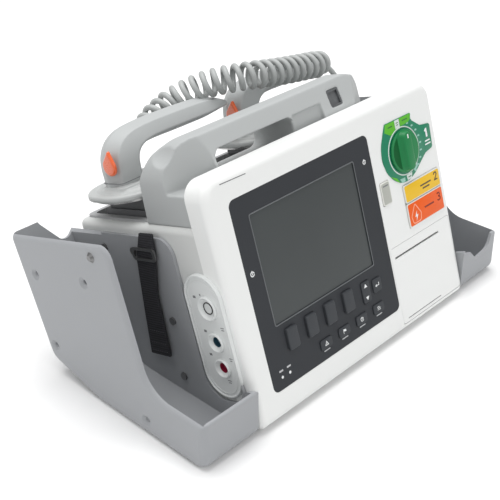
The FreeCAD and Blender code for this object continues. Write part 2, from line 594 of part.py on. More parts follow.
def tube(route, diameter, name):
    """A round bar along straight runs joined by tangent arcs."""
    places = [V(*p) for p in route]
    edges = []
    at = places[0]
    for before, corner, after in zip(places, places[1:], places[2:]):
        back = before - corner
        ahead = after - corner
        turn = math.pi - back.getAngle(ahead)
        reach = 0.45 * min(back.Length, ahead.Length)
        radius = reach / math.tan(turn / 2)
        back.normalize()
        ahead.normalize()
        inward = (back + ahead).normalize()
        start = corner + back * reach
        end = corner + ahead * reach
        middle = corner + inward * (radius / math.cos(turn / 2) - radius)
        edges.append(Part.LineSegment(at, start).toShape())
        edges.append(Part.Arc(start, middle, end).toShape())
        at = end
        print(name, "radius %.1f" % radius, "turn %.0f" % math.degrees(turn))
    edges.append(Part.LineSegment(at, places[-1]).toShape())
    path = Part.Wire(edges)
    ring = Part.Wire(Part.makeCircle(diameter / 2, places[0], places[1] - places[0]))
    bar = path.makePipeShell([ring], True, True)
    section = math.pi * diameter ** 2 / 4
    print(name, "length %.1f" % path.Length, "volume ratio %.4f" % (bar.Volume / (section * path.Length)))
    return bar


def cord():
    root = V(*GLAND_ROOT)
    along = V(*COIL_ROUTE[0]) - root
    gland = Part.makeCone(6.5, 3.6, along.Length, root, along)
    coil = tube(COIL_ROUTE, COIL_DIAMETER, "cord_coil")
    drop = tube(DROP_ROUTE, CORD_DIAMETER, "cord_drop")
    return {"cord_gland": gland, "cord_coil": coil, "cord_drop": drop}


def inside_case():
    chassis = block(-142, 142, 66, 68, -168, -36)
    chassis = chassis.cut(block(55, 140, 65, 69, -120, -60))
    tabs = [block(x, x + 14, 68, 80, -168, -166) for x in (-142, 40, 128)]
    main_board = block(-136, 48, 72, 73.6, -160, -50)
    parts = [block(-120, -84, 73.6, 78, -150, -118), block(-60, -30, 73.6, 77, -140, -112),
             block(-10, 30, 73.6, 84, -100, -70)]
    capacitor = block(62, 130, 74, 136, -112, -50).cut(block(61, 131, 100, 104, -60, -49))
    speaker = Part.makeCone(22, 12, 14, V(-80, 28, -150), V(0, 1, 0)).fuse(rod_n(-80, -150, 42, 50, 12))
    x0, x1, u0, u1 = BATTERY_FACE
    battery = block(x0, x1, BATTERY_FRONT, CASE_BACK - 0.5, u0, u1)
    grip = block(x0 + 30, x1 - 30, CASE_BACK - 8, CASE_BACK + 1, u1 - 12, u1 - 4)
    battery = battery.cut(grip)
    x0, x1, u0, u1 = INLET_FACE
    inlet = block(x0, x1, CASE_BACK - INLET_DEPTH, CASE_BACK, u0, u1)
    inlet = inlet.cut(block(x0 + 8, x1 - 8, CASE_BACK - 18, CASE_BACK + 1, u0 + 6, u1 - 6))
    pins = [block(x0 + 14 + i * 9, x0 + 16 + i * 9, CASE_BACK - 19, CASE_BACK - 10, u0 + 12, u1 - 12) for i in range(3)]
    return {"chassis": chassis.fuse(tabs), "main_board": main_board.fuse(parts), "storage_capacitor": capacitor,
            "speaker": speaker, "battery": battery, "power_inlet": inlet.fuse(pins)}


def rubber_feet():
    """Four round feet on the flat underside, modelled leaning so that they end up square to the floor."""
    feet = []
    for x in (-120, 120):
        for depth in (-38, 100):
            n, u = leaned(depth, 0)
            up = V(0, -math.sin(math.radians(LEAN)), math.cos(math.radians(LEAN)))
            feet.append(Part.makeCylinder(9, FLOOR_GAP, V(x, n, u), up))
    return Part.makeCompound(feet)


def ready_window():
    x0, x1, u0, u1 = WINDOW
    n0 = HANDLE_FOOT[0]
    frame = block(x0 + 0.1, x1 - 0.1, n0 + 0.6, n0 + 5, u0 + 0.1, u1 - 0.1)
    return lean_back(frame.cut(block(x0 + 2, x1 - 2, n0, n0 + 2.4, u0 + 2, u1 - 2)))


def all_nodes():
    nodes = {"front_housing": front_housing(), "rear_housing": rear_housing(), "carry_handle": carry_handle(),
             "control_board": control_board(), "ready_window": ready_window(),
             "left_bin": side_bin(0), "right_bin": right_bin(),
             "bin_fasteners": fasteners(), "rubber_feet": rubber_feet()}
    for group in (display(), keys(), therapy_controls(), printer(), connectors(), strap_parts(),
                  tray_and_docks(), paddle("left"), paddle("right"), cord(), inside_case()):
        nodes.update(group)
    return nodes


def stand(shape, shift):
    shape = shape.copy()
    shape.rotate(V(0, 0, 0), V(1, 0, 0), -LEAN)
    shape.translate(V(0, shift, BASE_DROP))
    return shape


def centre_shift(nodes):
    """How far back the origin lies, so that it is the middle of the base."""
    front = stand(nodes["front_housing"], 0).optimalBoundingBox()
    back = stand(nodes["left_bin"], 0).optimalBoundingBox()
    return -(front.YMin + back.YMax) / 2


os.makedirs("parts", exist_ok=True)
finished = all_nodes()
SHIFT = centre_shift(finished)
print("nodes", len(finished), "shift %.3f" % SHIFT)
for node, shape in finished.items():
    placed = stand(shape, SHIFT)
    bad = "" if placed.isValid() else "INVALID"
    box = placed.BoundBox
    print("%-24s solids %d volume %9.0f  X %.1f %.1f Y %.1f %.1f Z %.1f %.1f %s" % (
        node, len(placed.Solids), placed.Volume, box.XMin, box.XMax, box.YMin, box.YMax, box.ZMin, box.ZMax, bad))
    placed.exportStep("parts/%s.step" % node)
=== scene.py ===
import bpy
import bmesh
import json
import math
from mathutils import Matrix, Vector


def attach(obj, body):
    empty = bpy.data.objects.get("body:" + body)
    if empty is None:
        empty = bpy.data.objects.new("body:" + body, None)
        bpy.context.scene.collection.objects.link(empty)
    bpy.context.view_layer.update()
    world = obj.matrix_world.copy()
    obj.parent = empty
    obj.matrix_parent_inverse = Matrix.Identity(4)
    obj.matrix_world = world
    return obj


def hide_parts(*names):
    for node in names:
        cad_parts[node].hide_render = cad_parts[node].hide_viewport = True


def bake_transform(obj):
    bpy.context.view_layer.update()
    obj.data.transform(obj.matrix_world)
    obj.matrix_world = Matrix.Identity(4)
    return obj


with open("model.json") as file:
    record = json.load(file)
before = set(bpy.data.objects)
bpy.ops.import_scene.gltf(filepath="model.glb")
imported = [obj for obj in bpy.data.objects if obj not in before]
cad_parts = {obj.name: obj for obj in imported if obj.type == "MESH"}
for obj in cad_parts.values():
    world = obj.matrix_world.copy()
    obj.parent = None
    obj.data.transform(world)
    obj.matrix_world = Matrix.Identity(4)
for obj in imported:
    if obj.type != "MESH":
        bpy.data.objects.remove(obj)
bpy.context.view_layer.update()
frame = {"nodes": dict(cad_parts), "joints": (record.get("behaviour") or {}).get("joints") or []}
NODES = frame["nodes"]
JOINTS = {joint["name"]: joint for joint in frame["joints"]}

# ------------------------------------------------------------
# The case's own directions and origin, worked out from the frame's joints. Places below are in
# millimetres square to the case: x to the right, n into the case, u up the front face.

MM = 0.001
RIGHT = Vector((1, 0, 0))
INWARD = Vector(JOINTS["knob_turn"]["axis"]).normalized()
UPWARD = Vector(JOINTS["paddle_left_lift"]["axis"]).normalized()
DIAL = (95.0, -31.5)
DIAL_PIVOT_N = -3.0
DIAL_PIVOT = MM * (DIAL[0] * RIGHT + DIAL_PIVOT_N * INWARD + DIAL[1] * UPWARD)
ORIGIN = Vector(JOINTS["knob_turn"]["pos_m"]) - DIAL_PIVOT

# Sizes and places that repeat the part's. On the front face a place is (x, u), and an area is
# its left and right x and its low and high u.
HALF_WIDTH = 150.0
SCREEN = (-108.3, 24.0, -117.9, -18.6)
SOFT_KEYS = [(-94.0, -135.0), (-69.0, -135.0), (-44.0, -135.0), (-19.0, -135.0)]
SOFT_KEY_SIZE = (13, 20)
FUNCTION_KEYS = [(-56.5, -159.0), (-31.5, -159.0), (-6.5, -159.0), (18.5, -159.0)]
FUNCTION_KEY_SIZE = (15, 9)
ROCKER = (6.5, -137.5)
ROCKER_SIZE = (11, 20.4)
SELECT_KEY = (22.5, -137.2)
SELECT_KEY_SIZE = (12, 13)
CHARGE = (84.0, 140.5, -80.9, -63.0)
SHOCK = (84.0, 140.5, -105.5, -81.7)
SYNC = (53.0, 66.0, -72.0, -50.0)

# On the case's sides a place is (n, u)
PANEL_CENTRE = (30.5, -112.0)
PANEL_SIZE = (45.0, 114.0)
ECG = (27.0, -85.0)
SENSORS = [(27.0, -116.0), (27.0, -140.0)]
THERAPY = (118.0, -62.0)
BIN_INNER = 150.3
BIN_WALL = 3.0
PADDLE_BUTTON = (121.0, 35.0)

# The paddles: the post's left face along x, and the middles of the grip and the plate along n
PADDLE_X = {"left": -145.0, "right": 5.0}
GRIP_N = 125.0
PLATE_N = 130.0
PLATE_OFFSET = 33.0
POST_WIDTH = 32
POST_HALF = 14.5

# The cord's route, as (x, n, u)
COIL_DIAMETER = 27.0
CORD_DIAMETER = 5.5
COIL_ROUTE = [(-101, 157, 29), (-72, 158, 46), (-50, 157, 54), (-32, 154, 61), (-13, 126, 69.5),
              (14, 99.5, 68), (45, 96.5, 62), (80, 98, 57), (112, 100, 53)]
DROP_ROUTE = [(130, 104, 46), (147, 108, 24), (161, 112, -4), (165, 118, -36)]
GLAND_ROOT = (-122.0, 138.5, 27.0)

# The paddle grip from foot to tip: outer side (x from the post's left face, u), inner side, half depth
GRIP_LINE = [(0, 13, 31, 13, 14.5), (0, 22, 31.5, 21, 14.5), (0.2, 31, 32.2, 28.5, 14.4),
             (2, 40, 33.8, 33.6, 14.2), (6.6, 48.4, 36.6, 37.2, 13.9), (14, 55, 40.6, 39.4, 13.6),
             (24, 59.3, 46, 40.7, 13.3), (38, 61.3, 53, 41.2, 13), (55, 62, 62, 41.3, 12.8),
             (72, 61.9, 75, 41.1, 12.6), (88, 61.6, 90, 41, 12.3), (104, 61, 105, 41, 12),
             (118, 59.8, 118.4, 41.2, 11.2), (130, 57, 130, 42.2, 9.8), (139.5, 53.5, 139.5, 43.2, 8.2),
             (145, 51, 145, 44.4, 6.2), (147.6, 49.2, 147.6, 45.6, 4)]

# Levels along n on the front, where less is further out
BEZEL_FACE = 0.3
PAD_FACE = -1.6
SYNC_FACE = -1.2
SOFT_KEY_FACE = -2.6
KEY_FACE = -0.9
LABEL_FACE = -0.7
KEY_ROOT = 3.0

# The side panel's face along x, and the thickness of print
PANEL_FACE = -152.5
INK = 0.12

# Shapes on the white slab: its back panel, the slit under its top edge, the printer door's groove and
# the dial's label
SLAB_BACK = (-147.2, 147.2, -18.5, 19.2)
SLAB_BACK_LEVELS = (21.0, 23.6)
SLIT = [(-131, 15.4), (-102, 14.6), (-102, 15.3), (-131, 16.1)]
DOOR_GROOVE = (58, 112, -188.4, -187.7)
DIAL_LABEL = [(74.8, 0), (114.4, -0.3), (112.8, -5.6), (114.7, -8.2), (124.9, -15.7), (129.9, -16.6),
              (139.7, -18.2), (138.6, -41.6), (126.6, -43.7), (118.7, -48.8), (107.5, -56.2), (97.8, -60.6),
              (85.6, -60.6), (74.2, -53.9), (66.5, -44.4), (62.6, -31.4), (64.6, -18.9), (70.5, -7.6)]
LABEL_CORNERS = [1.2, 1.2, 2, 3, 4, 4, 2.5, 3, 3] + [20] * 9


def at(x, n, u):
    """The world place of a point given in case millimetres."""
    return ORIGIN + MM * (x * RIGHT + n * INWARD + u * UPWARD)


def on(plane, a, b, level):
    """A point of the face plane (x, u), the side plane (n, u) or the top plane (x, n)."""
    if plane == "face":
        return at(a, level, b)
    if plane == "side":
        return at(level, a, b)
    return at(a, b, level)


# ------------------------------------------------------------
# Mesh building

def add_mesh(name, points, faces, sharp=35.0):
    """A new object from points and faces; edges steeper than the angle sharp stay crisp."""
    mesh = bpy.data.meshes.new(name)
    mesh.from_pydata([tuple(p) for p in points], [], faces)
    work = bmesh.new()
    work.from_mesh(mesh)
    bmesh.ops.remove_doubles(work, verts=work.verts, dist=1e-7)
    bmesh.ops.recalc_face_normals(work, faces=work.faces)
    work.to_mesh(mesh)
    work.free()
    piece = bpy.data.objects.new(name, mesh)
    bpy.context.scene.collection.objects.link(piece)
    shade(piece, sharp)
    return piece


def shade(piece, sharp=35.0):
    piece.data.polygons.foreach_set("use_smooth", [True] * len(piece.data.polygons))
    piece.data.set_sharp_from_angle(angle=math.radians(sharp))


def outline(points, radii=0.0, inset=0.0, steps=6):
    """Points round a closed outline, anticlockwise, its sides moved inward and its corners rounded."""
    if not isinstance(radii, (list, tuple)):
        radii = [radii] * len(points)
    area = sum(a[0] * b[1] - b[0] * a[1] for a, b in zip(points, points[1:] + points[:1]))
    if area < 0:
        points = points[::-1]
        radii = list(radii)[::-1]
    found = []
    for i, place in enumerate(points):
        corner = Vector(place)
        along = (corner - Vector(points[i - 1])).normalized()
        ahead = (Vector(points[(i + 1) % len(points)]) - corner).normalized()
        inward = Vector((-along.y, along.x))
        inward_next = Vector((-ahead.y, ahead.x))
        corner = corner + (inward + inward_next) * (inset / (1 + inward.dot(inward_next)))
        turn = math.atan2(along.cross(ahead), along.dot(ahead))
        side = 1 if turn > 0 else -1
        if radii[i] <= 0:
            found.append(corner)
            continue
        radius = max(radii[i] - side * inset, 0.02)
        start = corner - along * radius * math.tan(abs(turn) / 2)
        centre = start + inward * side * radius
        arm = start - centre
        for step in range(steps + 1):
            angle = turn * step / steps
            swung = Vector((arm.x * math.cos(angle) - arm.y * math.sin(angle),
                            arm.x * math.sin(angle) + arm.y * math.cos(angle)))
            found.append(centre + swung)
    return found


def rectangle(a0, a1, b0, b1):
    return [(a0, b0), (a1, b0), (a1, b1), (a0, b1)]


def centred(a, b, half_a, half_b):
    """A rectangle given by its middle and half sizes."""
    return rectangle(a - half_a, a + half_a, b - half_b, b + half_b)


def circle(x, u, radius, count=48):
    return [Vector((x + radius * math.cos(math.tau * i / count), u + radius * math.sin(math.tau * i / count)))
            for i in range(count)]


def skin(name, rings, capped=True, closed=False, sharp=35.0):
    """Joins rings of equally many points, in order."""
    count = len(rings[0])
    points = [p for ring in rings for p in ring]
    faces = []
    last = len(rings) if closed else len(rings) - 1
    for r in range(last):
        here = r * count
        there = (r + 1) % len(rings) * count
        for i in range(count):
            j = (i + 1) % count
            faces.append((here + i, here + j, there + j, there + i))
    if capped and not closed:
        faces.append(tuple(range(count)))
        faces.append(tuple(range((len(rings) - 1) * count, len(rings) * count)))
    return add_mesh(name, points, faces, sharp)


def plate(name, points, radii, plane, low, high, edge=0.6, steps=4, corner_steps=8):
    """An extruded outline; the rim at the high level is rounded by edge."""
    toward = 1 if high > low else -1
    rings = [[on(plane, p.x, p.y, low) for p in outline(points, radii, 0, corner_steps)]]
    for step in range(steps + 1):
        angle = math.pi / 2 * step / steps
        level = high - toward * edge * (1 - math.sin(angle))
        shape = outline(points, radii, edge * (1 - math.cos(angle)), corner_steps)
        rings.append([on(plane, p.x, p.y, level) for p in shape])
    return skin(name, rings)


def band(name, outer, inner, plane, low, high, edge=0.3):
    """A flat ring between two outlines of equally many points, with bevelled upper edges."""
    toward = 1 if high > low else -1
    rings = []
    for shape, other, level, share in ((outer, inner, low, 0), (outer, inner, high - toward * edge, 0),
                                       (outer, inner, high, edge), (inner, outer, high, edge),
                                       (inner, outer, high - toward * edge, 0), (inner, outer, low, 0)):
        ring = []
        for p, q in zip(shape, other):
            width = (q - p).length
            moved = p.lerp(q, min(share / width, 0.4)) if width > 0 else p
            ring.append(on(plane, moved.x, moved.y, level))
        rings.append(ring)
    return skin(name, rings, capped=False, closed=True)


def turned(name, profile, place, axis, count=48, capped=True):
    """A body of revolution; the profile is (distance along the axis, radius) in millimetres."""
    axis = axis.normalized()
    across = axis.orthogonal().normalized()
    other = axis.cross(across)
    rings = []
    for along, radius in profile:
        ring = []
        for i in range(count):
            angle = math.tau * i / count
            spoke = math.cos(angle) * across + math.sin(angle) * other
            ring.append(place + MM * (along * axis + radius * spoke))
        rings.append(ring)
    return skin(name, rings, capped=capped)


def tube(name, path, radius, sides):
    """A round tube along world points, its rings carried along without twist."""
    ahead = (path[1] - path[0]).normalized()
    across = ahead.orthogonal().normalized()
    rings = []
    for i, place in enumerate(path):
        before = path[max(i - 1, 0)]
        after = path[min(i + 1, len(path) - 1)]
        ahead = (after - before).normalized()
        across = (across - ahead * across.dot(ahead)).normalized()
        other = ahead.cross(across)
        ring = []
        for k in range(sides):
            angle = math.tau * k / sides
            ring.append(place + radius * MM * (math.cos(angle) * across + math.sin(angle) * other))
        rings.append(ring)
    return skin(name, rings, sharp=60)


def join(name, pieces):
    """One object from several meshes, which are removed."""
    work = bmesh.new()
    for piece in pieces:
        work.from_mesh(piece.data)
        bpy.data.objects.remove(piece)
    mesh = bpy.data.meshes.new(name)
    work.to_mesh(mesh)
    work.free()
    piece = bpy.data.objects.new(name, mesh)
    bpy.context.scene.collection.objects.link(piece)
    shade(piece)
    return piece


def copy_of(node):
    """A copy of a CAD node's mesh, as a new object."""
    mesh = NODES[node].data.copy()
    mesh.materials.clear()
    piece = bpy.data.objects.new(node + "_copy", mesh)
    bpy.context.scene.collection.objects.link(piece)
    return piece


def moulded(name, pieces, voxel, rounds):
    """Fuses overlapping closed meshes into one moulding with soft edges and fillets."""
    piece = join(name, pieces)
    remesh = piece.modifiers.new("fuse", "REMESH")
    remesh.mode = "VOXEL"
    remesh.voxel_size = voxel * MM
    smooth = piece.modifiers.new("soften", "SMOOTH")
    smooth.factor = 0.5
    smooth.iterations = rounds
    depsgraph = bpy.context.evaluated_depsgraph_get()
    mesh = bpy.data.meshes.new_from_object(piece.evaluated_get(depsgraph))
    piece.modifiers.clear()
    piece.data = mesh
    mesh.polygons.foreach_set("use_smooth", [True] * len(mesh.polygons))
    return piece


def finish_piece(piece, material, body, slot, *nodes):
    """Material, body and replaced nodes of a piece; the slot argument is not used."""
    piece.data.materials.clear()
    piece.data.materials.append(material)
    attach(piece, body)
    if nodes:
        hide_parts(*nodes)
    return piece


# ------------------------------------------------------------
# Materials

def shaded(name, colour, roughness, metallic=0.0, coat=0.0, tint=0.03, grain=0.05, grain_size=0.5,
           cloud_size=60.0, rough_spread=0.05, bump_depth=0.05, specular=0.5):
    """A moulded or metal surface: cloudy tint, fine grain in relief, and uneven gloss."""
    material = bpy.data.materials.new(name)
    material.use_nodes = True
    nodes = material.node_tree.nodes
    links = material.node_tree.links
    shader = nodes["Principled BSDF"]
    shader.inputs["Metallic"].default_value = metallic
    shader.inputs["Coat Weight"].default_value = coat
    shader.inputs["Coat Roughness"].default_value = 0.12
    shader.inputs["Specular IOR Level"].default_value = specular
    place = nodes.new("ShaderNodeTexCoord")

    cloud = nodes.new("ShaderNodeTexNoise")
    cloud.inputs["Scale"].default_value = 1 / (cloud_size * MM)
    cloud.inputs["Detail"].default_value = 3
    links.new(place.outputs["Object"], cloud.inputs["Vector"])
    blend = nodes.new("ShaderNodeMix")
    blend.data_type = "RGBA"
    blend.inputs["A"].default_value = [c * (1 - tint) for c in colour] + [1]
    blend.inputs["B"].default_value = [min(c * (1 + tint), 1) for c in colour] + [1]
    links.new(cloud.outputs["Fac"], blend.inputs["Factor"])
    links.new(blend.outputs["Result"], shader.inputs["Base Color"])

    fine = nodes.new("ShaderNodeTexNoise")
    fine.inputs["Scale"].default_value = 1 / (grain_size * MM)
    fine.inputs["Detail"].default_value = 4
    links.new(place.outputs["Object"], fine.inputs["Vector"])
    relief = nodes.new("ShaderNodeBump")
    relief.inputs["Strength"].default_value = grain
    relief.inputs["Distance"].default_value = bump_depth * MM
    links.new(fine.outputs["Fac"], relief.inputs["Height"])
    links.new(relief.outputs["Normal"], shader.inputs["Normal"])

    gloss = nodes.new("ShaderNodeMapRange")
    gloss.inputs["To Min"].default_value = max(roughness - rough_spread, 0.02)
    gloss.inputs["To Max"].default_value = roughness + rough_spread
    links.new(fine.outputs["Fac"], gloss.inputs["Value"])
    links.new(gloss.outputs["Result"], shader.inputs["Roughness"])
    return material


def woven(name, colour, pitch):
    """Webbing: ribs across its length and a fine diagonal thread, in relief."""
    material = shaded(name, colour, 0.8, tint=0.25, cloud_size=3.0, grain=0.3, grain_size=0.4, bump_depth=0.2)
    nodes = material.node_tree.nodes
    links = material.node_tree.links
    place = nodes["Texture Coordinate"]
    ribs = nodes.new("ShaderNodeTexWave")
    ribs.bands_direction = "DIAGONAL"
    ribs.inputs["Scale"].default_value = 1 / (pitch * MM) / 6
    ribs.inputs["Distortion"].default_value = 0.5
    links.new(place.outputs["Object"], ribs.inputs["Vector"])
    relief = nodes.new("ShaderNodeBump")
    relief.inputs["Strength"].default_value = 0.5
    relief.inputs["Distance"].default_value = 0.2 * MM
    links.new(ribs.outputs["Fac"], relief.inputs["Height"])
    links.new(nodes["Bump"].outputs["Normal"], relief.inputs["Normal"])
    links.new(relief.outputs["Normal"], nodes["Principled BSDF"].inputs["Normal"])
    return material


WHITE = shaded("white_moulding", (0.80, 0.81, 0.80), 0.42, tint=0.012, grain=0.10, grain_size=0.7)
GREY = shaded("grey_moulding", (0.43, 0.445, 0.445), 0.5, tint=0.02, grain=0.16, grain_size=0.7,
              specular=0.4)
# A lighter copy of the paddle grey for the paddle feet: painted light on their upturned faces
GREY_LIT = shaded("lit_grey_moulding", (0.46, 0.475, 0.47), 0.5, tint=0.02, grain=0.16, grain_size=0.7)
BIN_GREY = shaded("bin_moulding", (0.335, 0.345, 0.36), 0.48, tint=0.02, grain=0.14, grain_size=0.8,
                  specular=0.4)
BEZEL_DARK = shaded("bezel_dark", (0.030, 0.033, 0.038), 0.6, tint=0.08, grain=0.3, specular=0.28)
KEY_DARK = shaded("key_dark", (0.036, 0.040, 0.046), 0.5, tint=0.06, grain=0.2, specular=0.3)
KEY_GREY = shaded("soft_key_grey", (0.042, 0.046, 0.052), 0.5, tint=0.06, grain=0.2, specular=0.3)
DARK = shaded("dark_moulding", (0.06, 0.063, 0.066), 0.55, tint=0.08, grain=0.25, grain_size=0.6)
DOCK_GREY = shaded("dock_moulding", (0.37, 0.375, 0.38), 0.5, tint=0.04, grain=0.2, grain_size=0.6)
DOCK_DARK = shaded("dock_dark", (0.11, 0.113, 0.117), 0.5, tint=0.05, grain=0.2, grain_size=0.6)
PRINT_WHITE = shaded("white_print", (0.80, 0.82, 0.82), 0.5, grain=0.02)
PRINT_DARK = shaded("dark_print", (0.10, 0.07, 0.03), 0.5, grain=0.02)
TEAL = shaded("teal_label", (0.006, 0.20, 0.10), 0.4, coat=0.1, tint=0.04, grain=0.04, specular=0.35)
LIME = shaded("lime_label", (0.10, 0.46, 0.02), 0.42, coat=0.1, tint=0.05, grain=0.04, specular=0.3)
LABEL_PALE = shaded("pale_label", (0.66, 0.73, 0.70), 0.4, coat=0.2, tint=0.02, grain=0.03)
KNOB_GREEN = shaded("knob_green", (0.010, 0.20, 0.06), 0.4, tint=0.06, grain=0.12, specular=0.3)
# A darker copy of the knob's green: painted shade for the left flank of the knob's rib
PAINTED_KNOB_SHADE = shaded("painted_shade_green", (0.001, 0.095, 0.022), 0.45, tint=0.06, grain=0.1, specular=0.2)
YELLOW = shaded("charge_yellow", (0.80, 0.49, 0.012), 0.42, coat=0.1, tint=0.04, grain=0.06, specular=0.35)
ORANGE = shaded("shock_orange", (0.80, 0.105, 0.003), 0.42, coat=0.1, tint=0.04, grain=0.06, specular=0.3)
ORANGE_PALE = shaded("orange_line", (0.90, 0.40, 0.26), 0.4, grain=0.03)
SYNC_GREY = shaded("sync_grey", (0.42, 0.43, 0.39), 0.45, tint=0.02, grain=0.08)
CONNECTOR = shaded("connector_white", (0.72, 0.74, 0.735), 0.35, coat=0.2, tint=0.015, grain=0.06)
BLUE = shaded("socket_blue", (0.035, 0.095, 0.14), 0.4, tint=0.06, grain=0.05)
RED = shaded("socket_red", (0.34, 0.018, 0.055), 0.4, tint=0.06, grain=0.05)
REAR_GREY = shaded("rear_moulding", (0.62, 0.63, 0.62), 0.48, tint=0.015, grain=0.14, grain_size=0.7)
SCREW = shaded("screw_metal", (0.22, 0.22, 0.22), 0.4, metallic=1.0, tint=0.1, grain=0.2)
# Near black for the ECG socket's well: painted shade of a deep recess
WELL_SHADE = shaded("painted_well_shade", (0.01, 0.01, 0.012), 0.6, grain=0.05)
STEEL = shaded("brushed_steel", (0.58, 0.58, 0.57), 0.28, metallic=1.0, tint=0.06, grain=0.12, grain_size=0.3)
FRAME_METAL = shaded("frame_metal", (0.50, 0.51, 0.52), 0.4, metallic=1.0, tint=0.05, grain=0.1)
CORD_GREY = shaded("cord_grey", (0.40, 0.415, 0.41), 0.5, tint=0.04, grain=0.12, grain_size=0.6,
                   cloud_size=20)
RUBBER = shaded("rubber_black", (0.025, 0.025, 0.026), 0.7, tint=0.1, grain=0.3)
CIRCUIT = shaded("circuit_green", (0.02, 0.15, 0.06), 0.4, tint=0.2, grain=0.1, cloud_size=6)
PAPER = shaded("paper_white", (0.80, 0.80, 0.76), 0.7, tint=0.02, grain=0.1)
GLASS = shaded("screen_glass", (0.050, 0.057, 0.058), 0.3, coat=0.1, tint=0.16, grain=0.01,
               cloud_size=120, specular=0.3)
WINDOW = shaded("window_smoke", (0.10, 0.105, 0.11), 0.22, coat=0.4, tint=0.35, cloud_size=6, grain=0.02)
MARGIN = shaded("button_margin", (0.70, 0.70, 0.66), 0.42, tint=0.015, grain=0.08)
MINT = shaded("mint_label", (0.30, 0.56, 0.47), 0.4, coat=0.2, tint=0.03, grain=0.03)
PRINT_GREY = shaded("grey_print", (0.20, 0.205, 0.21), 0.5, grain=0.02)
PRINT_PALE = shaded("pale_print", (0.50, 0.51, 0.52), 0.5, grain=0.02)
PRINT_GREEN = shaded("green_print", (0.02, 0.12, 0.03), 0.5, grain=0.02)
PRINT_RUST = shaded("rust_print", (0.22, 0.02, 0.005), 0.5, grain=0.02)
PRINT_SLIT = shaded("slit_dark", (0.16, 0.165, 0.17), 0.6, grain=0.02)
SEAM = shaded("seam_dark", (0.16, 0.165, 0.17), 0.6, grain=0.05)
TRIGGER = shaded("trigger_orange", (0.80, 0.13, 0.03), 0.28, coat=0.5, tint=0.05, grain=0.04)
# A lighter copy of the bezel's dark plastic: painted highlight along the screen's lip
LIP_HIGHLIGHT = shaded("painted_lip_highlight", (0.11, 0.118, 0.125), 0.45, tint=0.05, grain=0.1)
THREAD = shaded("strap_thread", (0.10, 0.10, 0.11), 0.7, tint=0.1, grain=0.1)
RIB = shaded("strap_rib", (0.034, 0.034, 0.040), 0.75, tint=0.2, grain=0.3, cloud_size=4)
WEBBING = woven("black_webbing", (0.016, 0.016, 0.019), 1.6)

NODE_MATERIALS = {
    "front_housing": WHITE, "rear_housing": REAR_GREY, "carry_handle": GREY, "left_bin": BIN_GREY,
    "right_bin": BIN_GREY, "display_bezel": BEZEL_DARK, "display_glass": GLASS, "display_module": FRAME_METAL,
    "control_board": CIRCUIT, "main_board": CIRCUIT, "chassis": FRAME_METAL, "storage_capacitor": FRAME_METAL,
    "printer_frame": DARK, "printer_door": WHITE, "paper_roll": PAPER, "platen_roller": RUBBER,
    "print_head": FRAME_METAL, "drive_motor": FRAME_METAL, "speaker": DARK, "battery": DARK,
    "power_inlet": DARK, "paddle_tray": DOCK_GREY, "paddle_docks": DOCK_DARK,
    "connector_panel": CONNECTOR, "ecg_socket": CONNECTOR,
    "sensor_sockets": BLUE, "therapy_socket": DARK, "therapy_plug": DARK, "selector_switch": DARK,
    "rubber_feet": RUBBER, "bin_fasteners": SCREW, "strap": WEBBING, "strap_ring": SCREW,
    "ready_window": WINDOW, "dial_plate": TEAL, "therapy_knob": KNOB_GREEN, "charge_button": YELLOW,
    "shock_button": ORANGE, "sync_button": SYNC_GREY, "arrow_rocker": KEY_DARK, "select_key": KEY_DARK,
    "cord_gland": CORD_GREY, "cord_coil": CORD_GREY, "cord_drop": CORD_GREY,
}
for number in range(1, 5):
    NODE_MATERIALS["soft_key_%d" % number] = KEY_GREY
    NODE_MATERIALS["function_key_%d" % number] = KEY_DARK
for side in PADDLE_X:
    NODE_MATERIALS["paddle_%s_base" % side] = GREY
    NODE_MATERIALS["paddle_%s_grip" % side] = GREY
    NODE_MATERIALS["paddle_%s_electrode" % side] = STEEL
    NODE_MATERIALS["paddle_%s_button" % side] = ORANGE


def dress_nodes():
    """Gives every CAD node its material."""
    for node, piece in NODES.items():
        for holder in piece.material_slots:
            holder.material = NODE_MATERIALS[node]


# ------------------------------------------------------------
# Camera, floor and light

CAMERA_PLACE = (-606.8, -579.3, 205.1)
CAMERA_TARGET = (-54.6, 73.0, -77.0)
CAMERA_ROLL = -1.1
CAMERA_LENS = 71.1
SENSOR_WIDTH = 36.0

# Area lamps, in metres: place, size and power
LAMPS = {
    "top": ((0.1, 0.5, 2.6), (2.4, 2.0), 64),
    "key": ((0.2, -2.2, 1.5), (1.6, 1.2), 13),
    "left": ((-2.2, 0.3, 1.2), (1.4, 1.2), 7),
}
LAMP_TARGET = (0, 0, 0.1)
SKY_STRENGTH = 0.52
FLOOR_HALF = 6.0


def aim(thing, place, target, roll=0.0):
    """Puts a camera or lamp at a place, looking at the target and rolled by degrees."""
    back = (place - target).normalized()
    side = Vector((0, 0, 1)).cross(back).normalized()
    up = back.cross(side)
    turn = Matrix((side, up, back)).transposed().to_4x4()
    thing.matrix_world = Matrix.Translation(place) @ turn @ Matrix.Rotation(math.radians(roll), 4, "Z")


def camera():
    view = bpy.data.cameras.new("camera")
    view.sensor_width = SENSOR_WIDTH
    view.lens = CAMERA_LENS
    view.clip_start = 0.01
    holder = bpy.data.objects.new("camera", view)
    bpy.context.scene.collection.objects.link(holder)
    aim(holder, at(*CAMERA_PLACE), at(*CAMERA_TARGET), CAMERA_ROLL)
    bpy.context.scene.camera = holder


def lamp(name, place, size, power):
    light = bpy.data.lights.new(name, "AREA")
    light.shape = "RECTANGLE"
    light.size = size[0]
    light.size_y = size[1]
    light.energy = power
    holder = bpy.data.objects.new(name, light)
    bpy.context.scene.collection.objects.link(holder)
    aim(holder, Vector(place), Vector(LAMP_TARGET))


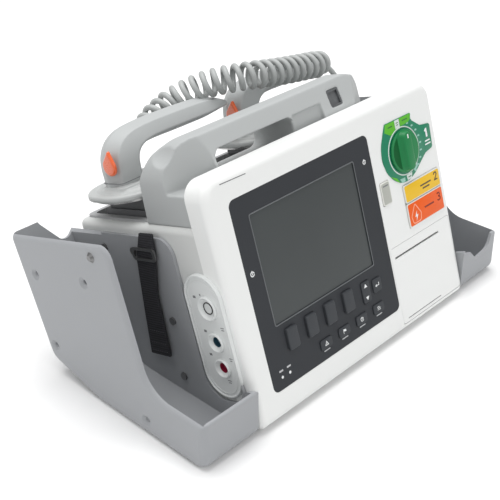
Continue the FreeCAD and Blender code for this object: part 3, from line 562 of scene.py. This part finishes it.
def studio():
    """White surroundings, soft lamps and a white floor."""
    world = bpy.data.worlds.new("studio")
    bpy.context.scene.world = world
    world.use_nodes = True
    sky = world.node_tree.nodes["Background"]
    sky.inputs["Color"].default_value = (1.0, 1.0, 1.0, 1)
    sky.inputs["Strength"].default_value = SKY_STRENGTH
    for name, (place, size, power) in LAMPS.items():
        lamp(name, place, size, power)
    bpy.context.scene.view_settings.view_transform = "Standard"
    corners = [(x, y, 0) for x, y in centred(0, 0, FLOOR_HALF, FLOOR_HALF)]
    floor = add_mesh("floor", corners, [(0, 1, 2, 3)])
    floor.data.materials.append(shaded("floor_paper", (0.93, 0.93, 0.93), 0.6, grain=0.0))


# ------------------------------------------------------------
# Curly cord

COIL_TURNS = 26
TURN_STEPS = 28
FIRST_TURNS = 5.0
LOOSE_TURNS = 1.0
CORD_SIDES = 12

# Along the cord, in metres, and the stations on each side that give its direction
STATION_GAP = 0.0004
COIL_OVERRUN = 0.012
LOOSE_STEP = 0.003
DIRECTION_SPAN = 6


def smooth_route(route):
    """Points along the route's own smooth line."""
    curve = bpy.data.curves.new("route", "CURVE")
    curve.dimensions = "3D"
    curve.resolution_u = 48
    spline = curve.splines.new("NURBS")
    spline.points.add(len(route) - 1)
    for point, place in zip(spline.points, route):
        point.co = (*at(*place), 1)
    spline.order_u = 3
    spline.use_endpoint_u = True
    holder = bpy.data.objects.new("route", curve)
    bpy.context.scene.collection.objects.link(holder)
    bpy.context.view_layer.update()
    mesh = bpy.data.meshes.new_from_object(holder)
    line = [v.co.copy() for v in mesh.vertices]
    bpy.data.objects.remove(holder)
    return line


def stations(line, gap):
    """Evenly spaced points of a line, a gap apart in metres, with their distances along it."""
    found = [(0.0, line[0].copy())]
    run = 0.0
    target = gap
    for a, b in zip(line, line[1:]):
        step = (b - a).length
        while step > 0 and run + step >= target:
            found.append((target, a.lerp(b, (target - run) / step)))
            target += gap
        run += step
    found.append((run, line[-1].copy()))
    return found


def ease(value):
    """A smooth step from 0 to 1."""
    value = min(max(value, 0.0), 1.0)
    return value * value * (3 - 2 * value)


def cord():
    """The left paddle's cord: turns that open out from the gland, then the loose end down to the plug."""
    line = smooth_route(COIL_ROUTE + DROP_ROUTE)
    coil_end = at(*COIL_ROUTE[-1])
    points = stations(line, STATION_GAP)
    nearest = min(points, key=lambda station: (station[1] - coil_end).length)
    coil_length = nearest[0] + COIL_OVERRUN
    radius = (COIL_DIAMETER - CORD_DIAMETER) / 2
    path = []
    across = None
    step_along = coil_length / (COIL_TURNS * TURN_STEPS)
    wanted = 0.0
    for i, (run, place) in enumerate(points[:-1]):
        if run < wanted:
            continue
        before = points[max(i - DIRECTION_SPAN, 0)][1]
        after = points[min(i + DIRECTION_SPAN, len(points) - 1)][1]
        ahead = (after - before).normalized()
        if across is None:
            across = ahead.cross(INWARD).normalized()
        across = (across - ahead * across.dot(ahead)).normalized()
        other = ahead.cross(across)
        share = run / coil_length
        if share <= 1:
            swell = ease(share * COIL_TURNS / FIRST_TURNS) * ease((1 - share) * COIL_TURNS / LOOSE_TURNS)
            angle = math.tau * COIL_TURNS * share
            path.append(place + MM * radius * swell * (math.cos(angle) * across + math.sin(angle) * other))
            wanted = run + step_along
        else:
            path.append(place)
            wanted = run + LOOSE_STEP
    path.append(points[-1][1])
    piece = tube("curly_cord", path, CORD_DIAMETER / 2, CORD_SIDES)
    piece.data.materials.append(CORD_GREY)
    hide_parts("cord_coil", "cord_drop")
    length = sum((b - a).length for a, b in zip(path, path[1:]))
    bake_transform(piece)
    return piece, path, length


GLAND_FLANGE = 2.0
GLAND_RIBS = 6
PLUG_SHELL = [(-12, 12), (2.4, 12), (2.41, 14.2), (4, 15), (8, 15), (8.6, 14.2), (20, 13.8), (24, 12.8),
              (26, 10.5)]
PLUG_RIDGES = 14
RIDGE_ENDS = (9.5, 19.5)
BOOT_RIBS = 4
BOOT_PITCH = 2.8


def gland():
    """The ribbed strain relief between the left paddle and its coil, thinning toward the coil."""
    root = at(*GLAND_ROOT)
    along = at(*COIL_ROUTE[0]) - root
    span = along.length / MM
    profile = [(0, 6.4), (GLAND_FLANGE, 6.4)]
    for i in range(GLAND_RIBS):
        start = GLAND_FLANGE + (span - 2.5) * i / GLAND_RIBS
        size = 5.6 - 2.2 * i / GLAND_RIBS
        profile += [(start + 0.1, size), (start + 2.2, size - 0.1),
                    (start + 2.3, size - 0.7), (start + 3.2, size - 0.8)]
    profile += [(span, 3.0)]
    piece = turned("cord_strain_relief", profile, root, along, 28)
    return finish_piece(piece, CORD_GREY, "paddle_left", "cord_grey", "cord_gland")


def plug():
    """The therapy plug on the case's right side, with a gripped shell and a ribbed boot."""
    n, u = THERAPY
    shell = turned("shell", PLUG_SHELL, at(HALF_WIDTH, n, u), RIGHT)
    ridges = []
    for i in range(PLUG_RIDGES):
        angle = math.tau * i / PLUG_RIDGES
        offset = MM * (14.1 * (math.cos(angle) * INWARD + math.sin(angle) * UPWARD))
        root, tip = [at(HALF_WIDTH + end, n, u) for end in RIDGE_ENDS]
        ridges.append(tube("ridge", [root + offset, tip + offset * 0.985], 0.8, 8))
    boot = [(-14, 6.4), (-11, 6.4)]
    for i in range(BOOT_RIBS):
        rise = i * BOOT_PITCH
        boot += [(-11 + rise, 5.6 - 0.5 * i), (-9.3 + rise, 5.5 - 0.5 * i),
                 (-9.2 + rise, 4.7 - 0.4 * i), (-8.3 + rise, 4.6 - 0.4 * i)]
    boot += [(0, 2.9)]
    sleeve = turned("boot", boot, at(*DROP_ROUTE[-1]), UPWARD, 28)
    piece = join("therapy_plug_shell", [shell, sleeve] + ridges)
    return finish_piece(piece, DARK, "case", "dark_plastic", "therapy_plug")


# ------------------------------------------------------------
# Handle and paddles

GRIP_STEPS = 5
POST_CORNER = 5.5
SEAM_LEVELS = (17.0, 17.6)
TRIGGER_RADIUS = 8.4
TRIGGER_STEPS = 17


def handle():
    """The carry handle with its edges softened."""
    piece = moulded("carry_handle_shell", [copy_of("carry_handle")], voxel=0.9, rounds=9)
    finish_piece(piece, GREY, "case", "housing_grey", "carry_handle")


def smooth_through(points, steps):
    """Points on a smooth line through the given ones."""
    points = [Vector(p) for p in points]
    ends = [2 * points[0] - points[1]] + points + [2 * points[-1] - points[-2]]
    found = []
    for p, q, r, t in zip(ends, ends[1:], ends[2:], ends[3:]):
        for step in range(steps):
            k = step / steps
            found.append(0.5 * (2 * q + (r - p) * k + (2 * p - 5 * q + 4 * r - t) * k * k
                                + (3 * q - p - 3 * r + t) * k * k * k))
    return found + [points[-1]]


def grip_shell(side):
    """A paddle's grip: one ridged section carried up the post and along the bar, thinning to its tip."""
    left = PADDLE_X[side]
    outer_side = smooth_through([row[0:2] for row in GRIP_LINE], GRIP_STEPS)
    inner_side = smooth_through([row[2:4] for row in GRIP_LINE], GRIP_STEPS)
    half_depths = smooth_through([(row[4], 0) for row in GRIP_LINE], GRIP_STEPS)
    rings = []
    for outer, inner, depth in zip(outer_side, inner_side, half_depths):
        span = (outer - inner).length
        across = (outer - inner) / span
        half = depth.x
        section = [(GRIP_N - half, 0.2 * span), (GRIP_N - 0.1 * half, 0), (GRIP_N + half, 0.06 * span),
                   (GRIP_N + half, 0.9 * span), (GRIP_N + 0.3 * half, span),
                   (GRIP_N - 0.66 * half, 0.8 * span)]
        ring = []
        for p in outline(section, min(half, span) * 0.2, 0, 5):
            spot = inner + across * p.y
            ring.append(at(left + spot.x, p.x, spot.y))
        rings.append(ring)
    return skin("paddle_%s_shell" % side, rings, sharp=80)


def foot(side):
    """A paddle's foot: a round rim and skirt, a collar round the post and, on the right one, a step."""
    left = PADDLE_X[side]
    middle = left + PLATE_OFFSET
    rim = plate("rim", centred(middle, PLATE_N, 46, 42), 36, "top", 4, 9.5, 2.6, 6, 14)
    skirt = plate("skirt", centred(middle - 2, PLATE_N, 36, 32), 28, "top", 8, 11.4, 2.4, 5, 14)
    collar_sides = rectangle(left - 1.2, left + 35, GRIP_N - 16, GRIP_N + 16)
    collar = plate("collar", collar_sides, 7, "top", 10, 14, 1.2, 4, 8)
    pieces = [rim, skirt, collar]
    if side == "right":
        pieces.append(plate("step", rectangle(left + 1, left + 37, 86, 101), 3, "top", 8, 18.5, 2.2, 4, 5))
    return moulded("paddle_%s_foot" % side, pieces, voxel=0.85, rounds=4)


def trigger(side):
    """A paddle's button on the post's left face: a drop with its point upward."""
    left = PADDLE_X[side]
    n, u = PADDLE_BUTTON
    drop = [(n - 3.5, u + 12.5)]
    for step in range(TRIGGER_STEPS):
        angle = math.radians(32 - 15.25 * step)
        drop.append((n + TRIGGER_RADIUS * math.cos(angle), u - 2.2 + TRIGGER_RADIUS * math.sin(angle)))
    radii = [1.2] + [0] * TRIGGER_STEPS
    return plate("paddle_%s_trigger" % side, drop, radii, "side", left + 1.6, left - 1.3, 1.9, 6, 5)


def paddle(side):
    """A paddle's grip, foot, seam and button, in place of the part's."""
    left = PADDLE_X[side]
    body = "paddle_%s" % side
    finish_piece(grip_shell(side), GREY, body, "housing_grey", "paddle_%s_grip" % side)
    # The foot takes the lighter copy of the paddle grey, painted light on its upturned faces
    finish_piece(foot(side), GREY_LIT, body, "housing_grey", "paddle_%s_base" % side)

    post = centred(left + POST_WIDTH / 2, GRIP_N, POST_WIDTH / 2, POST_HALF)
    seam = band("paddle_%s_seam" % side, outline(post, POST_CORNER, -0.12), outline(post, POST_CORNER, 0.6),
                "top", *SEAM_LEVELS, 0.1)
    finish_piece(seam, SEAM, body, "dark_plastic")
    finish_piece(trigger(side), TRIGGER, body + "_button", "shock_orange", "paddle_%s_button" % side)


# ------------------------------------------------------------
# Printed marks

def stroke(path, width):
    """The outline of an open line of even width."""
    path = [Vector(p) for p in path]
    left = []
    right = []
    for i, place in enumerate(path):
        before = place - path[i - 1] if i > 0 else path[1] - path[0]
        after = path[i + 1] - place if i + 1 < len(path) else before
        a = before.normalized()
        b = after.normalized()
        side = Vector((-(a.y + b.y), a.x + b.x)).normalized()
        reach = width / 2 / max(side.dot(Vector((-a.y, a.x))), 0.5)
        left.append(place + side * reach)
        right.append(place - side * reach)
    return [tuple(p) for p in left + right[::-1]]


def placed(shapes, x, u, size):
    """Shapes scaled to a size and moved to a place."""
    return [[(x + a * size, u + b * size) for a, b in shape] for shape in shapes]


# Digits and signs one unit high, round their middles
DIGITS = {
    1: [[(-0.14, -0.5), (0.14, -0.5), (0.14, 0.5), (-0.06, 0.5), (-0.3, 0.3), (-0.3, 0.14), (-0.14, 0.22)]],
    2: [stroke([(-0.27, 0.2), (-0.2, 0.38), (0, 0.44), (0.2, 0.36), (0.25, 0.18), (0.1, -0.06),
                (-0.2, -0.36)], 0.16),
        stroke([(-0.33, -0.42), (0.33, -0.42)], 0.16)],
    3: [stroke([(-0.26, 0.36), (-0.08, 0.44), (0.14, 0.4), (0.23, 0.22), (0.12, 0.05), (-0.06, 0.0)], 0.15),
        stroke([(-0.04, 0.02), (0.18, -0.04), (0.27, -0.22), (0.16, -0.4), (-0.08, -0.44),
                (-0.3, -0.34)], 0.15)],
}
FLASH = [[(0.12, 0.5), (-0.26, -0.06), (-0.02, -0.06), (-0.14, -0.5), (0.26, 0.1), (0.03, 0.1)]]
ARROW_UP = [[(-0.5, -0.35), (0.5, -0.35), (0, 0.45)]]
ARROW_DOWN = [[(-0.5, 0.35), (0, -0.45), (0.5, 0.35)]]


def bars(x, u, widths, height, gap):
    """Plain bars standing in for lines of lettering, downward from the first."""
    return [rectangle(x - w / 2, x + w / 2, u - i * gap - height, u - i * gap) for i, w in enumerate(widths)]


def ring_shape(x, u, outer, inner, count=24):
    """A ring as one outline, slit at its right side."""
    ahead = [(x + outer * math.cos(math.tau * i / count), u + outer * math.sin(math.tau * i / count))
             for i in range(count)]
    back = [(x + inner * math.cos(math.tau * i / count), u + inner * math.sin(math.tau * i / count))
            for i in range(count - 1, -1, -1)]
    return ahead + back


def printed(name, shapes, plane, level, material, body="case", slot="dark_plastic"):
    """Thin print standing on a face, joined in one piece."""
    way = 1 if plane == "top" else -1
    low = level - way * 0.1
    high = level + way * INK
    layers = [plate("ink", shape, 0, plane, low, high, 0.02, 1, 1) for shape in shapes]
    finish_piece(join(name, layers), material, body, slot)


# ------------------------------------------------------------
# Front face

# The dial label's coloured patches, and the scale and ring round the knob
LIME_PATCHES = [[(75, -0.5), (88.5, -0.5), (89, -9.2), (81, -12.5), (72.5, -7.5)],
                [(96, -0.5), (113.6, -0.6), (112, -5.6), (108.5, -7.8), (96.5, -8.2)],
                [(70.5, -49), (78.2, -53), (82, -59), (76, -54.6)]]
PALE_PATCHES = [rectangle(89, 95.8, -8.6, -0.8), [(92.6, -55), (101.5, -54.5), (100, -59.6), (93.4, -60)]]
MINT_PATCHES = [[(82.5, -55.6), (90, -56), (89.6, -59.8), (84.6, -59.8)],
                [(104, -51.6), (111, -47.6), (112.6, -51), (106, -55.4)]]
TICKS = 9
TICK_START = 62
TICK_ANGLE = 15.5
TICK_RADIUS = 26.4
RING_OUTER = 23.1
RING_INNER = 22.0

# The knob: its disc as (height, radius), its rib as (height, half width, half length)
DISC = [(1.3, 20.0), (1.6, 20.3), (2.8, 20.3), (3.3, 19.8), (3.5, 18.8)]
RIB_STEPS = [(3.2, 9.4, 19.4), (4.2, 7.8, 19.2), (5.8, 6.4, 18.8), (7.6, 5.5, 18.2), (8.4, 4.9, 17.7),
             (8.7, 4.1, 16.8)]
DISC_TOP = DISC[-1][0]
RIB_TOP = RIB_STEPS[-1][0]
# Radius of the arc that bounds the painted shade on the knob's left side
SHADE_PATCH_RADIUS = 18.2


def label_print(name, shapes, material, level=LABEL_FACE):
    printed(name, shapes, "face", level, material, slot="label_teal")


def dial():
    """The printed label round the therapy knob, with its coloured patches, scale and ring."""
    x, u = DIAL
    label = plate("dial_label", DIAL_LABEL, LABEL_CORNERS, "face", 0, LABEL_FACE, 0.15, 2, 6)
    finish_piece(label, TEAL, "case", "label_teal", "dial_plate")
    label_print("dial_lime", LIME_PATCHES, LIME)
    label_print("dial_pale", PALE_PATCHES, LABEL_PALE)
    label_print("dial_mint", MINT_PATCHES, MINT)
    words = bars(92.4, -3.2, [3.4, 2.6], 0.7, 2) + bars(81.5, -4, [6.5], 0.9, 2)
    words += bars(104, -3.4, [8.0], 0.9, 2) + bars(97, -57, [4.4], 0.8, 2)
    label_print("dial_words_dark", words, PRINT_GREEN, LABEL_FACE - INK)
    scale = []
    for i in range(TICKS):
        angle = math.radians(TICK_START - TICK_ANGLE * i)
        cx = x + TICK_RADIUS * math.cos(angle)
        cu = u + TICK_RADIUS * math.sin(angle)
        scale.append(rectangle(cx - 1.7, cx + 1.2, cu - 0.8, cu + 0.8))
    label_print("dial_scale", scale, MINT)
    first_step = placed(DIGITS[1], 132.6, -25.4, 8.6) + bars(132.4, -32.6, [7.4, 8.6], 1.3, 3.1)
    label_print("dial_step", first_step, PRINT_WHITE)
    rim = band("dial_ring", circle(x, u, RING_OUTER, 72), circle(x, u, RING_INNER, 72), "face", LABEL_FACE,
               LABEL_FACE - 0.5, 0.2)
    finish_piece(rim, LABEL_PALE, "case", "label_teal")


def knob():
    """The therapy knob: a disc with a rib across it, painted shade on the disc's left side and a pointer."""
    x, u = DIAL
    disc = turned("disc", DISC, at(x, 0, u), -INWARD, 96)
    rings = []
    for height, half_x, half_u in RIB_STEPS:
        shape = outline(centred(x, u, half_x, half_u), half_x * 0.9, 0, 8)
        rings.append([on("face", p.x, p.y, -height) for p in shape])
    shell = join("knob_shell", [disc, skin("rib", rings)])
    finish_piece(shell, KNOB_GREEN, "therapy_knob", "knob_green", "therapy_knob")
    # Painted shade: a darker green patch on the disc's left side stands in for the shade of the rib's left
    # flank
    shade_patch = []
    for step in range(13):
        angle = math.radians(238 - 9.67 * step)
        shade_patch.append((x + SHADE_PATCH_RADIUS * math.cos(angle), u + SHADE_PATCH_RADIUS * math.sin(angle)))
    printed("knob_painted_shade", [shade_patch], "face", -DISC_TOP, PAINTED_KNOB_SHADE, "therapy_knob", "knob_green")
    pointer = stroke([(x, u + 12.4), (x, u + 16.2)], 1.5)
    printed("knob_pointer", [pointer], "face", -RIB_TOP, PRINT_WHITE, "therapy_knob", "knob_green")


def push_pad(name, face, level, material, slot):
    """A pad whose coloured face lies in a pale margin."""
    x0, x1, u0, u1 = face
    body = plate("%s_margin" % name, rectangle(x0, x1, u0, u1), 2, "face", KEY_ROOT, level + 0.2, 0.5, 4, 6)
    finish_piece(body, MARGIN, name, "housing_white")
    inside = rectangle(x0 + 1, x1 - 1, u0 + 1, u1 - 1)
    top = plate("%s_face" % name, inside, 1.6, "face", level + 0.4, level, 0.2, 2, 6)
    finish_piece(top, material, name, slot, name)


def controls():
    """The charge, shock and sync buttons with their marks, and the two small signs on the bezel."""
    push_pad("charge_button", CHARGE, PAD_FACE, YELLOW, "charge_yellow")
    push_pad("shock_button", SHOCK, PAD_FACE, ORANGE, "shock_orange")
    push_pad("sync_button", SYNC, SYNC_FACE, SYNC_GREY, "sync_grey")
    charge = placed(DIGITS[2], 133.5, -69.6, 8.4) + bars(117, -70.6, [17, 11], 1.5, 3.4)
    printed("charge_marks", charge, "face", PAD_FACE, PRINT_DARK, "charge_button", "charge_yellow")
    shock = placed(DIGITS[3], 133.3, -90.6, 8.4) + bars(117, -92.4, [15], 1.7, 3)
    printed("shock_marks", shock, "face", PAD_FACE, PRINT_RUST, "shock_button", "shock_orange")
    shield = [(95.4, -83.4), (103.4, -95.5), (101.5, -103.2), (89.3, -103.2), (87.4, -95.5)]
    radii = [1.5, 3, 3, 3, 3]
    outer = outline(shield, radii)
    inner = outline(shield, radii, 0.9)
    mark = band("shock_outline", outer, inner, "face", PAD_FACE, PAD_FACE - 0.15, 0.05)
    finish_piece(mark, ORANGE_PALE, "shock_button", "shock_orange")
    flash = placed(FLASH, 95.6, -96.6, 9.6)
    printed("shock_flash", flash, "face", PAD_FACE, PRINT_WHITE, "shock_button", "shock_orange")
    word = bars(59.5, -53.0, [7.4], 1.3, 3)
    printed("sync_marks", word, "face", SYNC_FACE, PRINT_GREY, "sync_button", "sync_grey")
    signs = [ring_shape(39.1, -23.7, 2.2, 1.4), ring_shape(-119.8, -65.6, 2.4, 1.5)]
    signs += [rectangle(38.7, 39.5, -24.4, -20.9), rectangle(-120.2, -119.4, -66.4, -62.6)]
    printed("bezel_signs", signs, "face", BEZEL_FACE, PRINT_WHITE)


def icons():
    """The white signs on the four function keys."""
    return [
        [stroke([(-1.9, -1.4), (0, 1.9), (1.9, -1.4)], 0.55), rectangle(-2.3, 2.3, -1.9, -1.3),
         rectangle(-0.3, 0.3, -0.9, 0.5)],
        [rectangle(-1.8, -1.3, -2.1, 2.1), [(-1.1, 2.0), (1.9, 1.3), (1.9, -0.7), (-1.1, 0.0)]],
        [ring_shape(0, 0, 2.1, 1.5), rectangle(-0.3, 0.3, -0.1, 1.2), rectangle(0.0, 0.9, -0.4, 0.15)],
        [rectangle(-2.2, 2.2, -1.7, -1.2), rectangle(-2.2, 2.2, -0.3, 0.2), rectangle(-2.2, 1.0, 1.1, 1.6)],
    ]


LIGHTS_X = (-114.5, -105.0)
LIGHTS_U = -163.2


def key_cap(name, place, size, level, material, edge=0.5):
    shape = centred(*place, size[0] / 2, size[1] / 2)
    piece = plate("%s_cap" % name, shape, 2.0, "face", KEY_ROOT, level, edge, 4, 6)
    finish_piece(piece, material, name, "dark_plastic", name)


def keypad():
    """The keys round the screen with their signs, and the words and lights printed on the bezel."""
    for i, place in enumerate(SOFT_KEYS):
        key_cap("soft_key_%d" % (i + 1), place, SOFT_KEY_SIZE, SOFT_KEY_FACE, KEY_GREY, 1.2)
    for i, (place, sign) in enumerate(zip(FUNCTION_KEYS, icons())):
        name = "function_key_%d" % (i + 1)
        key_cap(name, place, FUNCTION_KEY_SIZE, KEY_FACE, KEY_DARK)
        printed("%s_sign" % name, placed(sign, *place, 1.0), "face", KEY_FACE, PRINT_WHITE, name)
    key_cap("select_key", SELECT_KEY, SELECT_KEY_SIZE, KEY_FACE, KEY_DARK)
    x, u = SELECT_KEY
    sign = [stroke([(x + 2.2, u + 2), (x + 2.2, u - 0.4), (x - 1.4, u - 0.4)], 0.7),
            [(x - 1.0, u + 1.1), (x - 3.0, u - 0.4), (x - 1.0, u - 1.9)]]
    printed("select_key_sign", sign, "face", KEY_FACE, PRINT_WHITE, "select_key")
    x, u = ROCKER
    key_cap("arrow_rocker", ROCKER, ROCKER_SIZE, KEY_FACE, KEY_DARK)
    arrows = placed(ARROW_UP, x, u + 6.0, 4.4) + placed(ARROW_DOWN, x, u - 6.0, 4.4)
    printed("arrow_rocker_signs", arrows, "face", KEY_FACE, PRINT_WHITE, "arrow_rocker")
    words = []
    for x, u in FUNCTION_KEYS:
        words += bars(x, u - 6.2, [8.0], 1.0, 2)
    for x in LIGHTS_X:
        words += bars(x, -156.6, [4.6], 1.6, 2)
    printed("bezel_words", words, "face", BEZEL_FACE, PRINT_PALE)
    lights = [[tuple(p) for p in circle(x, LIGHTS_U, 1.3, 20)] for x in LIGHTS_X]
    printed("status_lights", lights, "face", BEZEL_FACE, PRINT_WHITE)


LIP_WIDTH = 1.1


def screen_frame():
    """The thin lip round the screen's opening; its colour, lighter than the bezel, is a painted highlight."""
    x0, x1, u0, u1 = SCREEN
    outer = outline(rectangle(x0 - LIP_WIDTH, x1 + LIP_WIDTH, u0 - LIP_WIDTH, u1 + LIP_WIDTH), 2.2)
    inner = outline(rectangle(x0, x1, u0, u1), 1.5)
    lip = band("screen_lip", outer, inner, "face", BEZEL_FACE, BEZEL_FACE - 0.35, 0.3)
    finish_piece(lip, LIP_HIGHLIGHT, "case", "bezel_dark")


def slab_marks():
    """The dark slit under the white front's top edge and the printer door's lower groove."""
    printed("top_slit", [SLIT], "face", 0.0, PRINT_SLIT)
    printed("door_groove", [rectangle(*DOOR_GROOVE)], "face", 0.2, PRINT_SLIT, "printer_door")


def slab_back():
    """The panel that closes the white front behind, above the rear case."""
    panel = plate("slab_back_panel", rectangle(*SLAB_BACK), [0, 0, 12, 12], "face", *SLAB_BACK_LEVELS, 0.4, 3)
    finish_piece(panel, WHITE, "case", "housing_white")


# ------------------------------------------------------------
# Side connectors and strap

# The sockets' cups: place, radius, depth of the floor and radius of the bore
CUPS = [(ECG, 11.0, 0.4, 0.01), (SENSORS[0], 9.0, 0.2, 4.7), (SENSORS[1], 9.0, 0.2, 4.7)]
SENSOR_BORE = [(-0.25, 4.75), (-5.0, 4.6), (-5.0, 1.0), (-2.2, 1.0), (-2.2, 0.01)]
SIGN_PLACES = [(41, -76), (38, -107), (39, -129)]
WORD_PLACES = [(15, -101), (14, -129), (23, -151)]


def oval_points(inset):
    """The side panel's long outline, moved inward."""
    width, height = PANEL_SIZE
    return outline(centred(*PANEL_CENTRE, width / 2, height / 2), width / 2 - 0.2, inset, 16)


def connectors():
    """The side panel's rims, its ECG and sensor sockets and its printed signs."""
    outer_rim = band("panel_rim", oval_points(0.2), oval_points(2.0), "side", PANEL_FACE + 0.3,
                     PANEL_FACE - 0.9, 0.5)
    inner_rim = band("panel_line", oval_points(4.2), oval_points(4.9), "side", PANEL_FACE + 0.1,
                     PANEL_FACE - 0.35, 0.2)
    finish_piece(join("connector_rims", [outer_rim, inner_rim]), CONNECTOR, "case", "connector_white")
    cups = []
    for (n, u), size, depth, bore in CUPS:
        profile = [(-1.2, size), (1.5, size), (2.3, size - 0.7), (2.3, size - 1.4), (0.4, size - 3.4),
                   (-depth, size - 4.0), (-depth, bore), (-depth - 0.2, bore)]
        cups.append(turned("cup", profile, at(PANEL_FACE, n, u), -RIGHT, 64, capped=bore < 1))
    finish_piece(join("ecg_cup", cups[:1]), CONNECTOR, "case", "connector_white", "ecg_socket")
    finish_piece(join("sensor_cups", cups[1:]), CONNECTOR, "case", "connector_white", "sensor_sockets")
    # Painted shade: a near-black ring on a shallow groove stands in for the shadowed deep well of the ECG
    # socket
    groove = band("ecg_groove", circle(*ECG, 5.6, 56), circle(*ECG, 4.7, 56), "side", PANEL_FACE + 0.3,
                  PANEL_FACE - 0.1, 0.05)
    finish_piece(groove, WELL_SHADE, "case", "dark_plastic")
    for i, (place, material) in enumerate(zip(SENSORS, (BLUE, RED))):
        bore = turned("sensor_bore_%d" % (i + 1), SENSOR_BORE, at(PANEL_FACE, *place), -RIGHT, 40,
                      capped=False)
        finish_piece(bore, material, "case", "socket_blue")
    signs = [centred(n, u, 1.6, 1.1) for n, u in SIGN_PLACES]
    signs += [rectangle(32.4, 33.6, -74.2, -72.4)]
    for n, u in WORD_PLACES:
        signs += bars(n, u, [4.6, 3.4], 0.8, 2)
    printed("connector_signs", signs, "side", PANEL_FACE, PRINT_GREY)


# The strap's edges from its upper end down, as (n, u), and its outer face along x
STRAP_REAR = [(88, -21), (101, -45), (112, -100), (119, -139)]
STRAP_FRONT = [(70, -21), (74, -42), (86, -78), (92, -139)]
STRAP_FACE = -BIN_INNER - BIN_WALL - 3.6
STRAP_RIBS = 52
STITCH_ROWS = (0.80, 0.90, 0.965)
STITCHES = 7


def along_line(points, share):
    """The point at a share of a line's length."""
    spans = [math.dist(a, b) for a, b in zip(points, points[1:])]
    left = share * sum(spans)
    for a, b, span in zip(points, points[1:], spans):
        if left <= span:
            return Vector(a).lerp(Vector(b), left / span)
        left -= span
    return Vector(points[-1])


def strap_ribs():
    """Cross ribs of the webbing and the rows of stitches at its lower end."""
    ribs = []
    for i in range(STRAP_RIBS):
        low = (i + 0.2) / STRAP_RIBS
        high = (i + 0.75) / STRAP_RIBS
        corners = [along_line(STRAP_FRONT, low), along_line(STRAP_REAR, low), along_line(STRAP_REAR, high),
                   along_line(STRAP_FRONT, high)]
        ribs.append([tuple(corner) for corner in corners])
    printed("strap_ribs", ribs, "side", STRAP_FACE, RIB, slot="webbing")
    stitches = []
    for share in STITCH_ROWS:
        front = along_line(STRAP_FRONT, share)
        rear = along_line(STRAP_REAR, share)
        for k in range(STITCHES):
            start = front.lerp(rear, 0.1 + k * 0.12)
            end = front.lerp(rear, 0.16 + k * 0.12)
            stitches.append(stroke([tuple(start), tuple(end)], 0.5))
    printed("strap_stitches", stitches, "side", STRAP_FACE - INK, THREAD, slot="webbing")


# ------------------------------------------------------------
# Assembly

dress_nodes()
camera()
studio()
cord_piece, cord_path, cord_length = cord()
gland_piece = gland()
plug_piece = plug()
handle()
for side in PADDLE_X:
    paddle(side)
dial()
knob()
controls()
keypad()
screen_frame()
slab_marks()
slab_back()
connectors()
strap_ribs()
